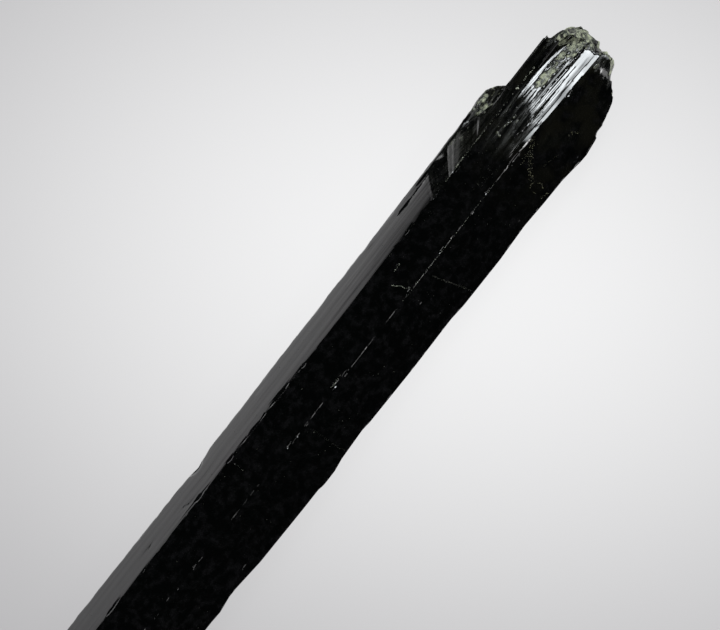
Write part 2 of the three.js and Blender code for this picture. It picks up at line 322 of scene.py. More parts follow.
@dataclass(frozen=True)
class WeatheredTip:
    """The rough end of the main crystal, as how far it reaches at each (y, z).

    Attributes:
        outline: The tip in plan, as (y, x) points.
        nose_z: The height at which it reaches farthest.
        lean: How far it leans back for each step up from there, as (y, lean) points.
        undercut: How far it leans back for each step down.
        lump: Height of the etched lumps, mm.
    """

    outline: Points = (
        (-6.2, 55.35), (-5.1, 56.6), (-4.6, 57.0), (-4.2, 57.6), (-3.9, 58.3), (-3.5, 59.1),
        (-3, 59.5), (-1.8, 59.8), (-1.1, 59.9), (-0.6, 60.1), (0.2, 60.45), (1.3, 60.5),
        (2.2, 60.8), (3.4, 60.7), (3.9, 60.3), (4.15, 59.8), (4.35, 58.2), (4.7, 57.6),
        (5.1, 56.6), (5.8, 56.0),
    )
    nose_z: float = -2.4
    lean: Points = (
        (-4.3, 0.03), (-2.8, 0.15), (-1.0, 0.24), (1.0, 0.3), (3.0, 0.45), (4.4, 0.4), (5.2, 0.03),
    )
    undercut: float = 0.25
    lump: float = 0.3

    def reach(self, y: Array, z: Array) -> Array:
        """How far along x the tip reaches at each (y, z)."""
        above = np.maximum(z - self.nose_z, 0)
        below = np.maximum(self.nose_z - z, 0)
        lumps = self.lump * layered(y * 1.15, z * 0.9, 3, 2)
        back = along(self.lean, y) * above + self.undercut * below
        return along(self.outline, y) - back + lumps

    def grain(self, y: Array, z: Array) -> Array:
        """The fine etched grain on the tip, mm."""
        return 0.26 * layered(y * 0.95, z * 0.8, 21, 2) + 0.07 * layered(y * 3.0, z * 2.4, 22, 2)

    def paleness(self, y: Array, z: Array) -> Array:
        """How pale the grain is, 0 to 1."""
        lumps, bumps = layered(y * 0.95, z * 0.8, 21, 2), layered(y * 3.0, z * 2.4, 22, 2)
        return np.clip(0.54 + 0.36 * lumps + 0.2 * bumps, 0.1, 0.95)


@dataclass(frozen=True)
class BrokenBase:
    """The broken end of the crystal, a stair of splinters along the cleavage.

    Attributes:
        step: The height of a stair, mm.
        slant: How far the end leans for each mm up.
    """

    step: float = 0.6
    slant: float = 0.12

    def reach(self, y: Array, z: Array) -> Array:
        """How far along x the base reaches at each (y, z)."""
        wave = unevenness(y * 0.35 + z * 0.2, z * 0.3 - y * 0.12, 8)
        stairs = 1.6 * wave * 2
        flats = np.floor(stairs) + ramp(stairs - np.floor(stairs), 0.72, 1.0)
        rough = 0.2 * layered(y * 0.9, z * 0.9, 9, 2)
        return BASE_X + 1.6 + self.step * flats + self.slant * z + rough

    def grain(self, y: Array, z: Array) -> Array:
        """The hackly grain on the break, mm."""
        blades = shards(y * 0.9 + z * 0.8, (z - y) * 1.7, 31)
        return 0.3 * blades + 0.05 * shards(y * 2.6, z * 2.6, 32)


@dataclass(frozen=True)
class Lamella:
    """One long blade of the fluted slope, which reaches to where the next one starts.

    Attributes:
        start: Its left edge, mm from the top face's left edge.
        onset: Where it begins to sink.
        tilt: Degrees that it is turned to the right.
        etch: How etched it is, 0 to 1.
        etched_from: Where the etching begins.
        rough: Height of the fine ribs on it, mm.
        fade: Where its tilt has faded out again.
    """

    start: float
    onset: float
    tilt: float = 0.0
    etch: float = 0.05
    etched_from: float = 46.0
    rough: float = 0.0012
    fade: float = 70.0


FLUTED_SLOPE: tuple[Lamella, ...] = (
    Lamella(0.00, 58.5),
    Lamella(0.72, 47.9, 0.5),
    Lamella(0.94, 48.0, -1.5),
    Lamella(1.22, 47.9, 4.0, 0.7, 49.6, 0.002),
    Lamella(1.58, 47.9, -2.0, 0.8, 49.4, 0.002),
    Lamella(2.03, 48.0, 3.0, 0.74, 49.8, 0.002),
    Lamella(2.40, 47.6, 9.0, 0.2, 48.0, 0.002, 56),
    Lamella(2.74, 47.2, 7.0, 0.2, 48.0, 0.002, 55),
    Lamella(3.02, 47.0, 2.5, 0.1),
    Lamella(3.24, 46.8, -3.0),
    Lamella(3.46, 46.6, -0.5, fade=56),
    Lamella(3.72, 46.2, -1.5, fade=54),
    Lamella(3.98, 45.4, 1.0, fade=53),
    Lamella(4.26, 45.2, -0.5, fade=53),
    Lamella(4.50, 45.2, 5.0, fade=52.5),
    Lamella(4.78, 43.2, -2.5, fade=58),
)


@dataclass(frozen=True)
class Groove:
    """A slot that runs along the fluted slope.

    Attributes:
        path: Where its middle is, as (x, across) points.
        width: How wide it is, as (x, mm) points.
        steepness: How steep its walls are, mm for each mm.
    """

    path: Points
    width: Points
    steepness: float = 1.05


GROOVES: tuple[Groove, ...] = (
    Groove(
        ((46.6, 1.1), (47.7, 1.22), (50.0, 1.28), (51.9, 1.2), (53.4, 1.15), (54.6, 1.2),
         (56, 1.28)),
        ((47.2, 0), (48.6, 0.2), (51, 0.2), (53.4, 0.3), (55.0, 0.28), (56.3, 0))),
    Groove(((46.1, 1.56), (49.2, 1.58)), ((45.6, 0), (47.6, 0.22), (48.8, 0.18), (49.7, 0))),
    Groove(((46.9, 2.1), (49.8, 2.1)), ((46.5, 0), (47.4, 0.15), (49.2, 0.12), (50.0, 0))),
    Groove(
        ((47.2, 2.52), (50, 2.43), (52.5, 2.3), (53.8, 2.37), (55.1, 2.57), (56, 2.65)),
        ((46.8, 0), (47.8, 0.17), (51.5, 0.16), (53, 0.2), (54.5, 0.26), (55.8, 0))),
    Groove(
        ((47.4, 3.3), (52.5, 3.1), (53.8, 3.14), (55.7, 3.23), (57.9, 3.1)),
        ((46.9, 0), (48, 0.12), (52, 0.13), (53, 0.2), (57, 0.22), (58.4, 0.1))),
    Groove(
        ((46.1, 4.03), (50, 3.99), (52.5, 3.92), (54.4, 3.88), (55.7, 3.89)),
        ((45.2, 0), (47.2, 0.34), (48.4, 0.3), (50, 0.2), (52.5, 0.13), (54.4, 0.1), (55.8, 0))),
    Groove(((52.0, 4.55), (54.3, 4.57)), ((51.9, 0), (53.2, 0.09), (54.4, 0))),
    Groove(((54, 3.5), (57.9, 3.42)), ((53.6, 0), (55, 0.09), (57.5, 0.09), (58.2, 0))),
    Groove(((39.4, 4.62), (44.0, 4.56)), ((39, 0), (40.5, 0.12), (43.2, 0.14), (44.2, 0)), 0.42),
    Groove(((40.6, 4.3), (46.0, 4.24)), ((40, 0), (42.5, 0.1), (45.0, 0.16), (46.2, 0)), 0.42),
    Groove(((38.0, 5.0), (43.6, 4.94)), ((37, 0), (38.6, 0.08), (42.6, 0.12), (43.8, 0)), 0.42),
    Groove(((42.4, 3.7), (46.2, 3.8)), ((42, 0), (43.6, 0.1), (45.0, 0.12), (46.4, 0)), 0.42),
)


# ---------------------------------------------------------------- the skin


@dataclass(frozen=True)
class Spacing:
    """How closely the skin's columns stand across a strip, mm.

    Attributes:
        edge: The first and last step.
        middle: The longest step.
        growth: How many times longer each step is than the one before it.
    """

    edge: float
    middle: float
    growth: float = 1.3

    def shares(self, width: float) -> Array:
        """Divides a strip, finely at both edges and more coarsely between.

        Args:
            width: The strip's width, mm.

        Returns:
            Shares of the width, from 0 up to but not 1.
        """
        steps: list[float] = []
        step = self.edge
        while step < self.middle and sum(steps) + step < width / 2:
            steps.append(step)
            step *= self.growth
        inner = width - 2 * sum(steps)
        count = max(1, round(inner / self.middle))
        whole = [*steps, *([inner / count] * count), *reversed(steps)]
        return np.concatenate([[0.0], np.cumsum(whole)[:-1]]) / width


@dataclass
class CrystalSkin:
    """The crystal's long surface as a grid of stations along x and columns round it.

    Attributes:
        faces: The prism faces.
        slope: How the top sinks towards the tip.
        tip: The weathered end.
        base: The broken end.
        station: Distance between stations on the plain stretch, mm.
        close_station: Distance between them near the two crystals' tips.
        spacing: How close the columns stand, strip by strip.
        SIDE_ROUNDING: The length over which the thinner crystal's end rounds off, mm.
        BASE_BLEND_X: Where the stations begin to follow the broken base.
        TIP_BLEND_X: Where they begin to follow the tip.
        CLOSE_X: Where they begin to stand close.
        TIP_STATIONS: How many there are at the tip.
        BASE_STATIONS: How many there are at the base.
        BASE_SEARCH_X: A place well past the base, where the search for it starts.
        TIP_SEARCH_X: Places before and past every point of the tip.
        HALVINGS: How often a search halves the stretch that it looks in.
        SCOOP_REACH: How far past a hollow's end its stations are looked at, mm.
    """

    faces: PrismFaces = PrismFaces()
    slope: TipSlope = TipSlope()
    tip: WeatheredTip = WeatheredTip()
    base: BrokenBase = BrokenBase()
    station: float = 0.27
    close_station: float = 0.15
    spacing: tuple[Spacing, ...] = (
        Spacing(0.04, 0.055), Spacing(0.04, 0.15), Spacing(0.05, 0.12), Spacing(0.05, 0.2),
        Spacing(0.06, 0.24), Spacing(0.06, 0.2), Spacing(0.08, 0.14), Spacing(0.06, 0.18),
        Spacing(0.05, 0.12), Spacing(0.04, 0.11),
    )

    SIDE_ROUNDING = 2.6
    BASE_BLEND_X = -56.0
    TIP_BLEND_X = 51.0
    CLOSE_X = 30.0
    TIP_STATIONS = 78
    BASE_STATIONS = 26
    BASE_SEARCH_X = -66.0
    TIP_SEARCH_X = (48.0, 64.0)
    HALVINGS = 30
    SCOOP_REACH = 6

    def __post_init__(self) -> None:
        """Sets the columns round the crystal and the stations along it."""
        widths = self.strip_widths()
        divided = [self.spacing[strip].shares(float(widths[strip])) for strip in Strip]
        counts = [len(shares) for shares in divided]
        bounds = np.concatenate([[0], np.cumsum(counts)])
        self.strips = [slice(int(a), int(b)) for a, b in zip(bounds, bounds[1:])]
        self.share = np.concatenate(divided)
        self.strip_of = np.repeat(np.arange(len(divided)), counts)
        self.starts = self.find_end(self.base.reach, self.BASE_SEARCH_X, self.BASE_BLEND_X)
        self.ends = self.find_end(self.tip.reach, *self.TIP_SEARCH_X)
        self.x = self.stations()
        self.point = np.concatenate([self.x[..., None], self.section(self.x)], -1)
        self.etched = np.zeros(self.x.shape)
        self.splintered = np.zeros(self.x.shape)

    def stations(self) -> Array:
        """Where every station is along x, for each column."""
        blend = self.BASE_BLEND_X
        plain = np.arange(blend, self.CLOSE_X, self.station)
        close = np.arange(self.CLOSE_X, self.TIP_BLEND_X, self.close_station)
        fixed = np.concatenate([plain, close])[:, None] + np.zeros(len(self.share))
        lead = np.linspace(0, 1, self.BASE_STATIONS)[:-1, None]
        trail = np.linspace(0, 1, self.TIP_STATIONS)[:, None]
        head = self.starts + (blend - self.starts) * lead
        tail = self.TIP_BLEND_X + (self.ends - self.TIP_BLEND_X) * trail
        return np.concatenate([head, fixed, tail])

    def corner(self, number: int, x: Array) -> tuple[Array, Array]:
        """Finds the corner where a strip starts.

        Args:
            number: The strip's number.
            x: Places along the crystal.

        Returns:
            The corner's (y, z) with the thinner crystal, and without it.
        """
        f, slope = self.faces, self.slope
        sunk = slope.sunk(x, slope.onset)[..., None] * np.array([-slope.drift, -1.0])
        groove = f.left_under.meet(f.foot, x)
        main_under = f.left_under.meet(f.left_side, x)
        joined = {
            Strip.TOP: lambda: f.left_slope.meet(f.top, x),
            Strip.RIGHT_SLOPE: lambda: f.top.meet(f.right_slope, x) + sunk,
            Strip.RIGHT_SIDE: lambda: (
                f.right_slope.meet(f.right_side, x) + slope.flank_share * sunk),
            Strip.RIGHT_UNDER: lambda: f.right_side.meet(f.right_under, x),
            Strip.BOTTOM: lambda: f.right_under.meet(f.bottom, x),
            Strip.LEFT_UNDER: lambda: f.bottom.meet(f.left_under, x),
            Strip.FOOT: lambda: groove,
            Strip.SIDE_UNDER: lambda: f.foot.meet(f.side_under, x),
            Strip.SIDE_LEFT: lambda: f.side_under.meet(f.side_left, x),
            Strip.LEFT_SLOPE: lambda: f.side_left.meet(f.left_slope, x),
        }[number]()
        alone = {
            Strip.SIDE_UNDER: lambda: groove + 0.12 * (main_under - groove),
            Strip.SIDE_LEFT: lambda: main_under,
            Strip.LEFT_SLOPE: lambda: f.left_side.meet(f.left_slope, x),
        }.get(number, lambda: joined)()
        return joined, alone

    def strip_widths(self) -> Array:
        """Each strip's width on the plain stretch, mm."""
        corners = [self.corner(strip, np.array(0.0))[0] for strip in Strip]
        after = [*corners[1:], corners[0]]
        return np.array([np.linalg.norm(b - a) for a, b in zip(corners, after)])

    def side_cover(self, x: Array, around: Array) -> Array:
        """How much of the thinner crystal is there, 1 before its tip and 0 past it.

        Args:
            x: Places along the crystal.
            around: Places round it, mm, for the roughness of its end.

        Returns:
            The share of its thickness.
        """
        ragged = 0.5 * layered(around * 1.3, x * 0.5, 41, 2)
        ragged += 0.25 * shards(around * 3, x * 1.6, 42)
        way = np.clip((SIDE_TIP_X + 0.3 * ragged - x) / self.SIDE_ROUNDING, 0, 1)
        return np.sqrt(way)

    def section(self, x: Array) -> Array:
        """Where every column is at its own places along x.

        Args:
            x: Places along the crystal, one column of them for each column of the skin.

        Returns:
            The (y, z) of each.
        """
        out = np.zeros((*x.shape, 2))
        for strip, columns in zip(Strip, self.strips):
            here = x[..., columns]
            share = self.share[columns]
            joined_a, alone_a = self.corner(strip, here)
            joined_b, alone_b = self.corner(strip.after(), here)
            joined = joined_a + share[:, None] * (joined_b - joined_a)
            alone = alone_a + share[:, None] * (alone_b - alone_a)
            cover = self.side_cover(here, strip * 3.0 + share * 3.0 + np.zeros_like(here))
            out[..., columns, :] = alone + cover[..., None] * (joined - alone)
        return out

    def find_end(self, reach: Callable[[Array, Array], Array], low: float, high: float) -> Array:
        """Finds where each column meets a rough end.

        Args:
            reach: How far the end reaches at each (y, z).
            low: A place at one side of the end.
            high: A place at its other side, farther along x.

        Returns:
            The place along x for each column.
        """
        near = np.full(len(self.share), low)
        far = np.full(len(self.share), high)
        for _ in range(self.HALVINGS):
            middle = (near + far) / 2
            section = self.section(middle)
            short = reach(section[..., 0], section[..., 1]) > middle
            near = np.where(short, middle, near)
            far = np.where(short, far, middle)
        return (near + far) / 2

    def grid(self, strip: Strip) -> tuple[slice, Array, Array]:
        """Finds a strip's part of the skin.

        Args:
            strip: The strip.

        Returns:
            Its columns, and for each of its points the place along x and the distance from the
            corner where the strip starts, mm.
        """
        columns = self.strips[strip]
        x = self.x[:, columns]
        return columns, x, self.across(strip) + np.zeros_like(x)

    def etch(self, strip: Strip, mark: Array) -> None:
        """Raises the etching of a strip's points to a mark from 0 to 1, where it is lower."""
        columns = self.strips[strip]
        self.etched[:, columns] = np.maximum(self.etched[:, columns], mark)

    def across(self, strip: Strip) -> Array:
        """Each column's distance from the corner where its strip starts, mm."""
        return self.share[self.strips[strip]] * self.strip_widths()[strip]

    def beside(self, strip: Strip, reach: float) -> Array:
        """Picks the columns within reach, in mm, of the edge where a strip starts."""
        near = np.zeros(len(self.share), bool)
        before = strip.before()
        near[self.strips[strip]] = self.across(strip) < reach
        near[self.strips[before]] = self.strip_widths()[before] - self.across(before) < reach
        return near

    def lift(self, strip: Strip, height: Array) -> None:
        """Moves a strip's points off its face, by a height in mm for each."""
        self.point[:, self.strips[strip], 1:] += height[..., None] * self.faces.of(strip).normal()

    def trim(self, normal: Array, reach: Array) -> None:
        """Flattens whatever stands out past a plane.

        Args:
            normal: The (y, z) direction that the plane looks in, of length 1.
            reach: The plane's distance from the axis, for each station and column.
        """
        section = self.point[..., 1:]
        past = np.maximum(section @ normal - reach, 0)
        section -= past[..., None] * normal

    def scoop(self, middle: Array, radii: tuple[float, float, float], turn: float = 0.0) -> None:
        """Pushes the skin out of an egg-shaped hollow.

        Args:
            middle: The middle of the hollow, outside the crystal, mm.
            radii: Its half length along x, and its two half widths, mm.
            turn: How far it is turned about the x axis, radians.
        """
        apart = np.abs(self.x.mean(1) - middle[0])
        rows = np.flatnonzero(apart < radii[0] + self.SCOOP_REACH)
        if not len(rows):
            return
        window = slice(int(rows[0]), int(rows[-1]) + 1)
        offset = self.point[window] - middle
        cos, sin = math.cos(turn), math.sin(turn)
        spin = np.array([[1, 0, 0], [0, cos, -sin], [0, sin, cos]])
        local = offset @ spin / np.array(radii)
        distance = np.linalg.norm(local, axis=-1)
        inside = distance < 1
        moved = middle + (local / np.maximum(distance, 0.05)[..., None] * np.array(radii)) @ spin.T
        self.point[window] = np.where(inside[..., None], moved, self.point[window])

    def locate(self, strip: Strip, x: float, across: float) -> Array:
        """Finds a point of the finished skin.

        Args:
            strip: The strip that it is on.
            x: How far along the crystal it is.
            across: Its distance from the corner where the strip starts, mm.

        Returns:
            The point, mm.
        """
        places = self.across(strip)
        columns = self.strips[strip]
        column = columns.start + np.interp(across, places, np.arange(len(places)))
        low = int(column)
        high = min(low + 1, columns.stop - 1)
        sides = []
        for side in (low, high):
            station = np.interp(x, self.x[:, side], np.arange(len(self.x)))
            row = min(int(station), len(self.x) - 2)
            rest = station - row
            sides.append(self.point[row, side] * (1 - rest) + self.point[row + 1, side] * rest)
        return sides[0] + (column - low) * (sides[1] - sides[0])


class Mark(Enum):
    """The maps that the finishes and the loose grains read, one number for each point."""

    ETCHED = "etched"
    SPLINTERED = "splintered"


@dataclass(frozen=True)
class Scoop:
    """A shallow hollow in one face.

    Attributes:
        strip: The face's strip.
        x: Where its middle is along the crystal.
        across: Where it is across the strip, mm from the strip's first corner.
        length: Its length, mm.
        width: Its width, mm.
        depth: Its depth, mm.
        skew: How far its far end leans across the face, mm for each mm.
    """

    strip: Strip
    x: float
    across: float
    length: float
    width: float
    depth: float
    skew: float = 0.0


FACE_HOLLOWS: tuple[Scoop, ...] = (
    Scoop(Strip.LEFT_SLOPE, 27.6, 1.45, 2.8, 0.6, 0.16, -0.05),
    Scoop(Strip.LEFT_SLOPE, 30.4, 1.35, 5.2, 0.22, 0.07, -0.05),
    Scoop(Strip.LEFT_SLOPE, -19.9, 4.0, 1.3, 0.5, 0.012, 0.6),
    Scoop(Strip.LEFT_SLOPE, -27.2, 3.3, 0.9, 0.35, 0.008, -0.4),
    Scoop(Strip.TOP, -11.8, 1.2, 0.7, 0.9, 0.07),
    Scoop(Strip.TOP, 8.7, 2.8, 0.5, 0.4, 0.05),
    Scoop(Strip.TOP, 21.2, 1.6, 1.3, 0.22, 0.03),
    Scoop(Strip.TOP, 24.6, 2.8, 0.7, 0.3, 0.015),
    Scoop(Strip.TOP, 41.0, 0.9, 0.5, 0.4, 0.03),
    Scoop(Strip.TOP, 45.4, 2.4, 0.7, 0.4, 0.08),
    Scoop(Strip.RIGHT_SLOPE, 19.2, 2.5, 0.6, 0.5, 0.06),
    Scoop(Strip.RIGHT_SLOPE, 28.6, 1.2, 0.8, 0.5, 0.06),
    Scoop(Strip.RIGHT_SLOPE, 35.4, 6.6, 0.7, 0.4, 0.05),
    Scoop(Strip.RIGHT_SLOPE, 48.8, 3.9, 1.0, 0.7, 0.05),
    Scoop(Strip.RIGHT_SLOPE, 44.5, 4.3, 2.6, 0.16, 0.025, 0.1),
    Scoop(Strip.RIGHT_SLOPE, 51.8, 3.9, 1.6, 0.18, 0.025, 0.15),
    Scoop(Strip.RIGHT_SLOPE, -15.6, 5.2, 0.8, 0.5, 0.05),
    Scoop(Strip.RIGHT_SLOPE, -21.6, 6.4, 1.0, 0.6, 0.06),
    Scoop(Strip.BOTTOM, -30.0, 3.0, 3.0, 0.7, 0.12, 0.2),
    Scoop(Strip.BOTTOM, 22.0, 1.4, 2.2, 0.6, 0.1, -0.2),
    Scoop(Strip.LEFT_UNDER, 4.0, 2.2, 4.0, 0.5, 0.1, 0.1),
    Scoop(Strip.RIGHT_UNDER, -8.0, 3.0, 3.4, 0.6, 0.1, 0.2),
)


@dataclass(frozen=True)
class EdgeChip:
    """A sliver broken out of the long edge where a strip starts.

    Attributes:
        strip: The strip that starts at the edge.
        x: Where its middle is along the crystal.
        length: Its length, mm.
        bite: How deep it goes into the edge, mm.
        lean: How far it leans to the strip's own side (1) or to the one before it (-1).
    """

    strip: Strip
    x: float
    length: float
    bite: float
    lean: float = 0.0


NAMED_CHIPS: tuple[EdgeChip, ...] = (
    EdgeChip(Strip.TOP, -18.0, 1.9, 0.22, -1.4),
    EdgeChip(Strip.TOP, -11.7, 1.5, 0.16, -0.8),
    EdgeChip(Strip.TOP, -6.6, 6.4, 0.12, -1.4),
    EdgeChip(Strip.TOP, -1.3, 4.8, 0.2, -1.4),
    EdgeChip(Strip.TOP, -36.2, 2.4, 0.18, -1.3),
    EdgeChip(Strip.TOP, 3.6, 1.1, 0.14, -0.7),
    EdgeChip(Strip.TOP, 35.5, 2.0, 0.18, 0.5),
    EdgeChip(Strip.RIGHT_SLOPE, 4.6, 2.2, 0.26, -0.4),
    EdgeChip(Strip.RIGHT_SLOPE, 6.0, 1.6, 0.2, 0.6),
    EdgeChip(Strip.RIGHT_SLOPE, 19.5, 1.4, 0.24, -0.5),
    EdgeChip(Strip.RIGHT_SLOPE, 41.0, 3.0, 0.16, 0.7),
    EdgeChip(Strip.RIGHT_SLOPE, 52.2, 1.6, 0.14, 0.6),
    EdgeChip(Strip.RIGHT_UNDER, -26.0, 3.2, 0.5),
    EdgeChip(Strip.LEFT_SLOPE, -15.6, 2.8, 0.42),
    EdgeChip(Strip.LEFT_SLOPE, -27.0, 1.8, 0.2),
    EdgeChip(Strip.LEFT_SLOPE, 33.5, 1.7, 0.22),
)


@dataclass(frozen=True)
class Bevel:
    """The blunt line along a long edge.

    Attributes:
        strip: The strip that starts at the edge.
        width: Its usual width, mm.
        lean: How far it leans towards the strip, degrees.
        vary: How much its width varies along x, as a share.
        swell: How much wider it gets along x, as (x, mm) points.
        wear: How large the small chips along the edge are.
    """

    strip: Strip
    width: float
    lean: float = 0.0
    vary: float = 0.8
    swell: Points = ((0.0, 0.0),)
    wear: float = 1.0


RIGHT_SLOPE_SWELL: Points = (
    (1, -0.035), (9, 0.0), (37, 0.0), (40.5, 0.16), (44, 0.3), (46.2, -0.3),
)
BEVELS: tuple[Bevel, ...] = (
    Bevel(Strip.TOP, 0.07, wear=0.35),
    Bevel(Strip.RIGHT_SLOPE, 0.06, 0.0, 1.0, RIGHT_SLOPE_SWELL, 0.6),
    Bevel(Strip.RIGHT_SIDE, 0.03, wear=0.3),
    Bevel(Strip.RIGHT_UNDER, 0.2),
    Bevel(Strip.BOTTOM, 0.22),
    Bevel(Strip.LEFT_UNDER, 0.22),
    Bevel(Strip.SIDE_UNDER, 0.15),
    Bevel(Strip.SIDE_LEFT, 0.16),
    Bevel(Strip.LEFT_SLOPE, 0.42, -6.0, 0.6),
)

# How the upper left face rises and falls across its slanting growth steps, by where each
# step starts on the top face's left edge. The steps fan out from STEP_FAN, (x, across) mm.
SLANTED_STEPS: Points = (
    (29.9, 0.0), (30.8, 0.0), (33.7, -0.54), (34.0, 0.1), (34.9, 0.11), (35.0, 0.14),
    (36.3, 0.12), (38.5, -0.3), (38.9, -0.31), (39.9, -0.48), (44.0, -0.6),
)
STEP_HAZE: Points = (
    (29.6, 0.0), (31.0, 0.2), (33.6, 0.2), (34.1, 0.36), (36.3, 0.36), (37.0, 0.24), (38.5, 0.34),
    (39.2, 0.34), (41.0, 0.26), (48.0, 0.22), (50.0, 0.27), (60.0, 0.3),
)
STEP_FAN = (21.0, -18.5)


@dataclass
class Weathering:
    """What growth, wear and etching have done to the skin, step by step.

    Attributes:
        skin: The skin that it works on.
        seed: Picks where the small chips are.
        chips_per_edge: How many small chips each open edge has.
        BEVEL_END_X: Where the blunt edges end.
        STRIP_SHIFT: How far apart the strips read their roughness, so that it doesn't repeat.
        SIDE_RIM: How far from the top face the thinner crystal is whole, as (x, mm) points.
        USUAL_RIM: The width of the etched rim at a strip's two edges, mm.
        RIM_WIDTHS: The same for the strips where it differs.
        LEDGE_EDGE: The right edge of the ledge beside the slope, as (x, mm) points.
        CHIPPED_X: The stretch of the long edges that wear has chipped.
        BLUNT_DEPTH: How deep a blunt edge is cut for each mm of its width.
        FLUTES_END: The last blade's right edge, mm from the top face's left edge.
        MERGED_ONSET: Where the rightmost blades begin to sink once they have merged.
    """

    skin: CrystalSkin
    seed: int = 12
    chips_per_edge: int = 34

    BEVEL_END_X = 55.0
    STRIP_SHIFT = 10
    CHIPPED_X = (-58, 54)
    BLUNT_DEPTH = 0.21
    FLUTES_END = 5.6
    MERGED_ONSET = 45.6
    SIDE_RIM: Points = (
        (40.6, 4.4), (42.4, 3.9), (44.0, 3.4), (45.0, 3.0), (48.2, 2.6), (48.7, 3.6),
    )
    USUAL_RIM = (0.8, 0.8)
    LEDGE_EDGE: Points = (
        (48.0, 0.72), (49.3, 0.66), (51.0, 0.54), (54.0, 0.36), (55.7, 0.24), (58.0, 0.2),
    )
    RIM_WIDTHS = {
        Strip.TOP: (1.3, 0.3), Strip.RIGHT_SLOPE: (2.8, 0.25), Strip.RIGHT_SIDE: (0.2, 0.3),
        Strip.LEFT_SLOPE: (0.5, 0.7),
    }

    def apply(self) -> None:
        """Does every step, from growth to wear."""
        self.grow_lines()
        self.slant_steps()
        self.flute_slope()
        for bevel in BEVELS:
            self.blunt(bevel)
        for chip in [*NAMED_CHIPS, *self.small_chips()]:
            self.chip_edge(chip)
        for hollow in FACE_HOLLOWS:
            self.hollow_out(hollow)
        self.etch_side_end()
        self.etch_tip()
        self.splinter_base()

    def grow_lines(self) -> None:
        """Gives every long face its low growth ribs, which run along the crystal."""
        skin = self.skin
        height = {
            Strip.TOP: 0.004, Strip.RIGHT_SLOPE: 0.005, Strip.RIGHT_SIDE: 0.02,
            Strip.RIGHT_UNDER: 0.02, Strip.BOTTOM: 0.012, Strip.LEFT_UNDER: 0.022, Strip.FOOT: 0.02,
            Strip.SIDE_UNDER: 0.022, Strip.SIDE_LEFT: 0.02, Strip.LEFT_SLOPE: 0.003,
        }
        for strip in Strip:
            _, x, across = skin.grid(strip)
            ribs = layered(across * 1.6, x * 0.03, 50 + strip, 3)
            waves = unevenness(across * 0.3, x * 0.08, 70 + strip)
            skin.lift(strip, height[strip] * (ribs + 1.5 * waves))

    def slant_steps(self) -> None:
        """Gives the upper left face its slanting steps near the thinner crystal's tip."""
        skin = self.skin
        columns, x, across = skin.grid(Strip.LEFT_SLOPE)
        from_top = skin.strip_widths()[Strip.LEFT_SLOPE] - across
        fan_x, fan_across = STEP_FAN
        place = fan_x - (x - fan_x) * fan_across / (from_top - fan_across)
        wanted = along(SLANTED_STEPS, place + 0.05 * unevenness(from_top * 1.5, x * 0.7, 61))
        wanted += 0.07 * from_top * ramp(place, 39.1, 39.6)
        already = along(skin.faces.left_slope.growth, x)
        streaks = 0.007 * layered(place * 5, from_top * 0.3, 62, 2)
        present = ramp(place, 29.6, 31) * ramp(-place, -41, -38)
        edge = ramp(from_top, 0, 0.12) * ramp(across, 0.5, 0.8)
        skin.lift(Strip.LEFT_SLOPE, edge * (wanted - already + streaks * present))
        cloudy = 0.85 + 0.3 * layered(place * 4, from_top * 0.4, 69, 2)
        skin.etched[:, columns] = along(STEP_HAZE, place) * cloudy

    def flute_slope(self) -> None:
        """Cuts the sloping top face into long blades, with slots between some of them."""
        skin = self.skin
        columns, x, _ = skin.grid(Strip.TOP)
        left, _ = skin.corner(Strip.TOP, x)
        right, _ = skin.corner(Strip.RIGHT_SLOPE, x)
        width = left[..., 0] - right[..., 0]
        place = skin.share[columns] * width
        starts = np.array([blade.start for blade in FLUTED_SLOPE])
        number = self.blade_at(x, place, starts)
        value = {
            name: np.array([getattr(blade, name) for blade in FLUTED_SLOPE])[number]
            for name in ("start", "onset", "tilt", "etch", "etched_from", "rough", "fade")
        }
        middle = (value["start"] + np.append(starts[1:], self.FLUTES_END)[number]) / 2
        onset = value["onset"] + 0.4 * unevenness(number * 3.7, x * 0, 65)
        merged = ramp(x, 49.5, 54.0) * ramp(place, 3.3, 3.5)
        onset += merged * (self.MERGED_ONSET - 0.8 * ramp(place, 4.0, 5.3) - onset)
        plane = left[..., 1] + skin.share[columns] * (right[..., 1] - left[..., 1])
        edge = ramp(np.minimum(place, width - place), 0, 0.1)
        present = ramp(x, onset, onset + 1.6)
        turned = present * ramp(-x, -value["fade"] - 1, -value["fade"] + 1)
        tilt = -np.tan(np.radians(value["tilt"])) * (place - middle)
        ribs = value["rough"] * layered(place * 6, x * 0.25, 66, 3)
        drop = skin.faces.top.reach_at(x) - skin.slope.sunk(x, onset) - plane
        ripple = 0.045 * layered(place * 7, x * 1.5, 67, 2)
        ripple *= np.clip(unevenness(x * 0.6, place, 68), 0, 1)
        ripple *= ramp(x, 42, 45) * ramp(-x, -48.5, -46.5)
        worn = 0.06 * np.clip(x - 55.4, 0, None) * ramp(place, 3.1, 3.5)
        height = drop + ripple + worn + turned * tilt + (present + 1.2 * ramp(x, 53, 56)) * ribs
        for groove in GROOVES:
            half = along(groove.width, x) / 2
            off = np.abs(place - along(groove.path, x))
            height -= groove.steepness * np.clip(half - off, 0, None)
        etch = value["etch"] * ramp(x, value["etched_from"], value["etched_from"] + 1)
        ragged = x + 0.7 * unevenness(place * 3, x, 92)
        whole = 0.66 * ramp(ragged, 55.0, 55.8) * ramp(place, 1.1, 1.35) * ramp(-place, -3.1, -2.9)
        etch = np.maximum(etch, whole)
        lumps = layered(place * 2.4, x * 1.1, 93, 2)
        height += 0.05 * ramp(etch, 0.3, 0.6) * lumps
        etch *= np.clip(0.9 + 0.5 * lumps, 0.3, 1.3)
        skin.point[:, columns, 2] += edge * height
        cloud = ramp(x, 36, 44) * ramp(-x, -52, -48)
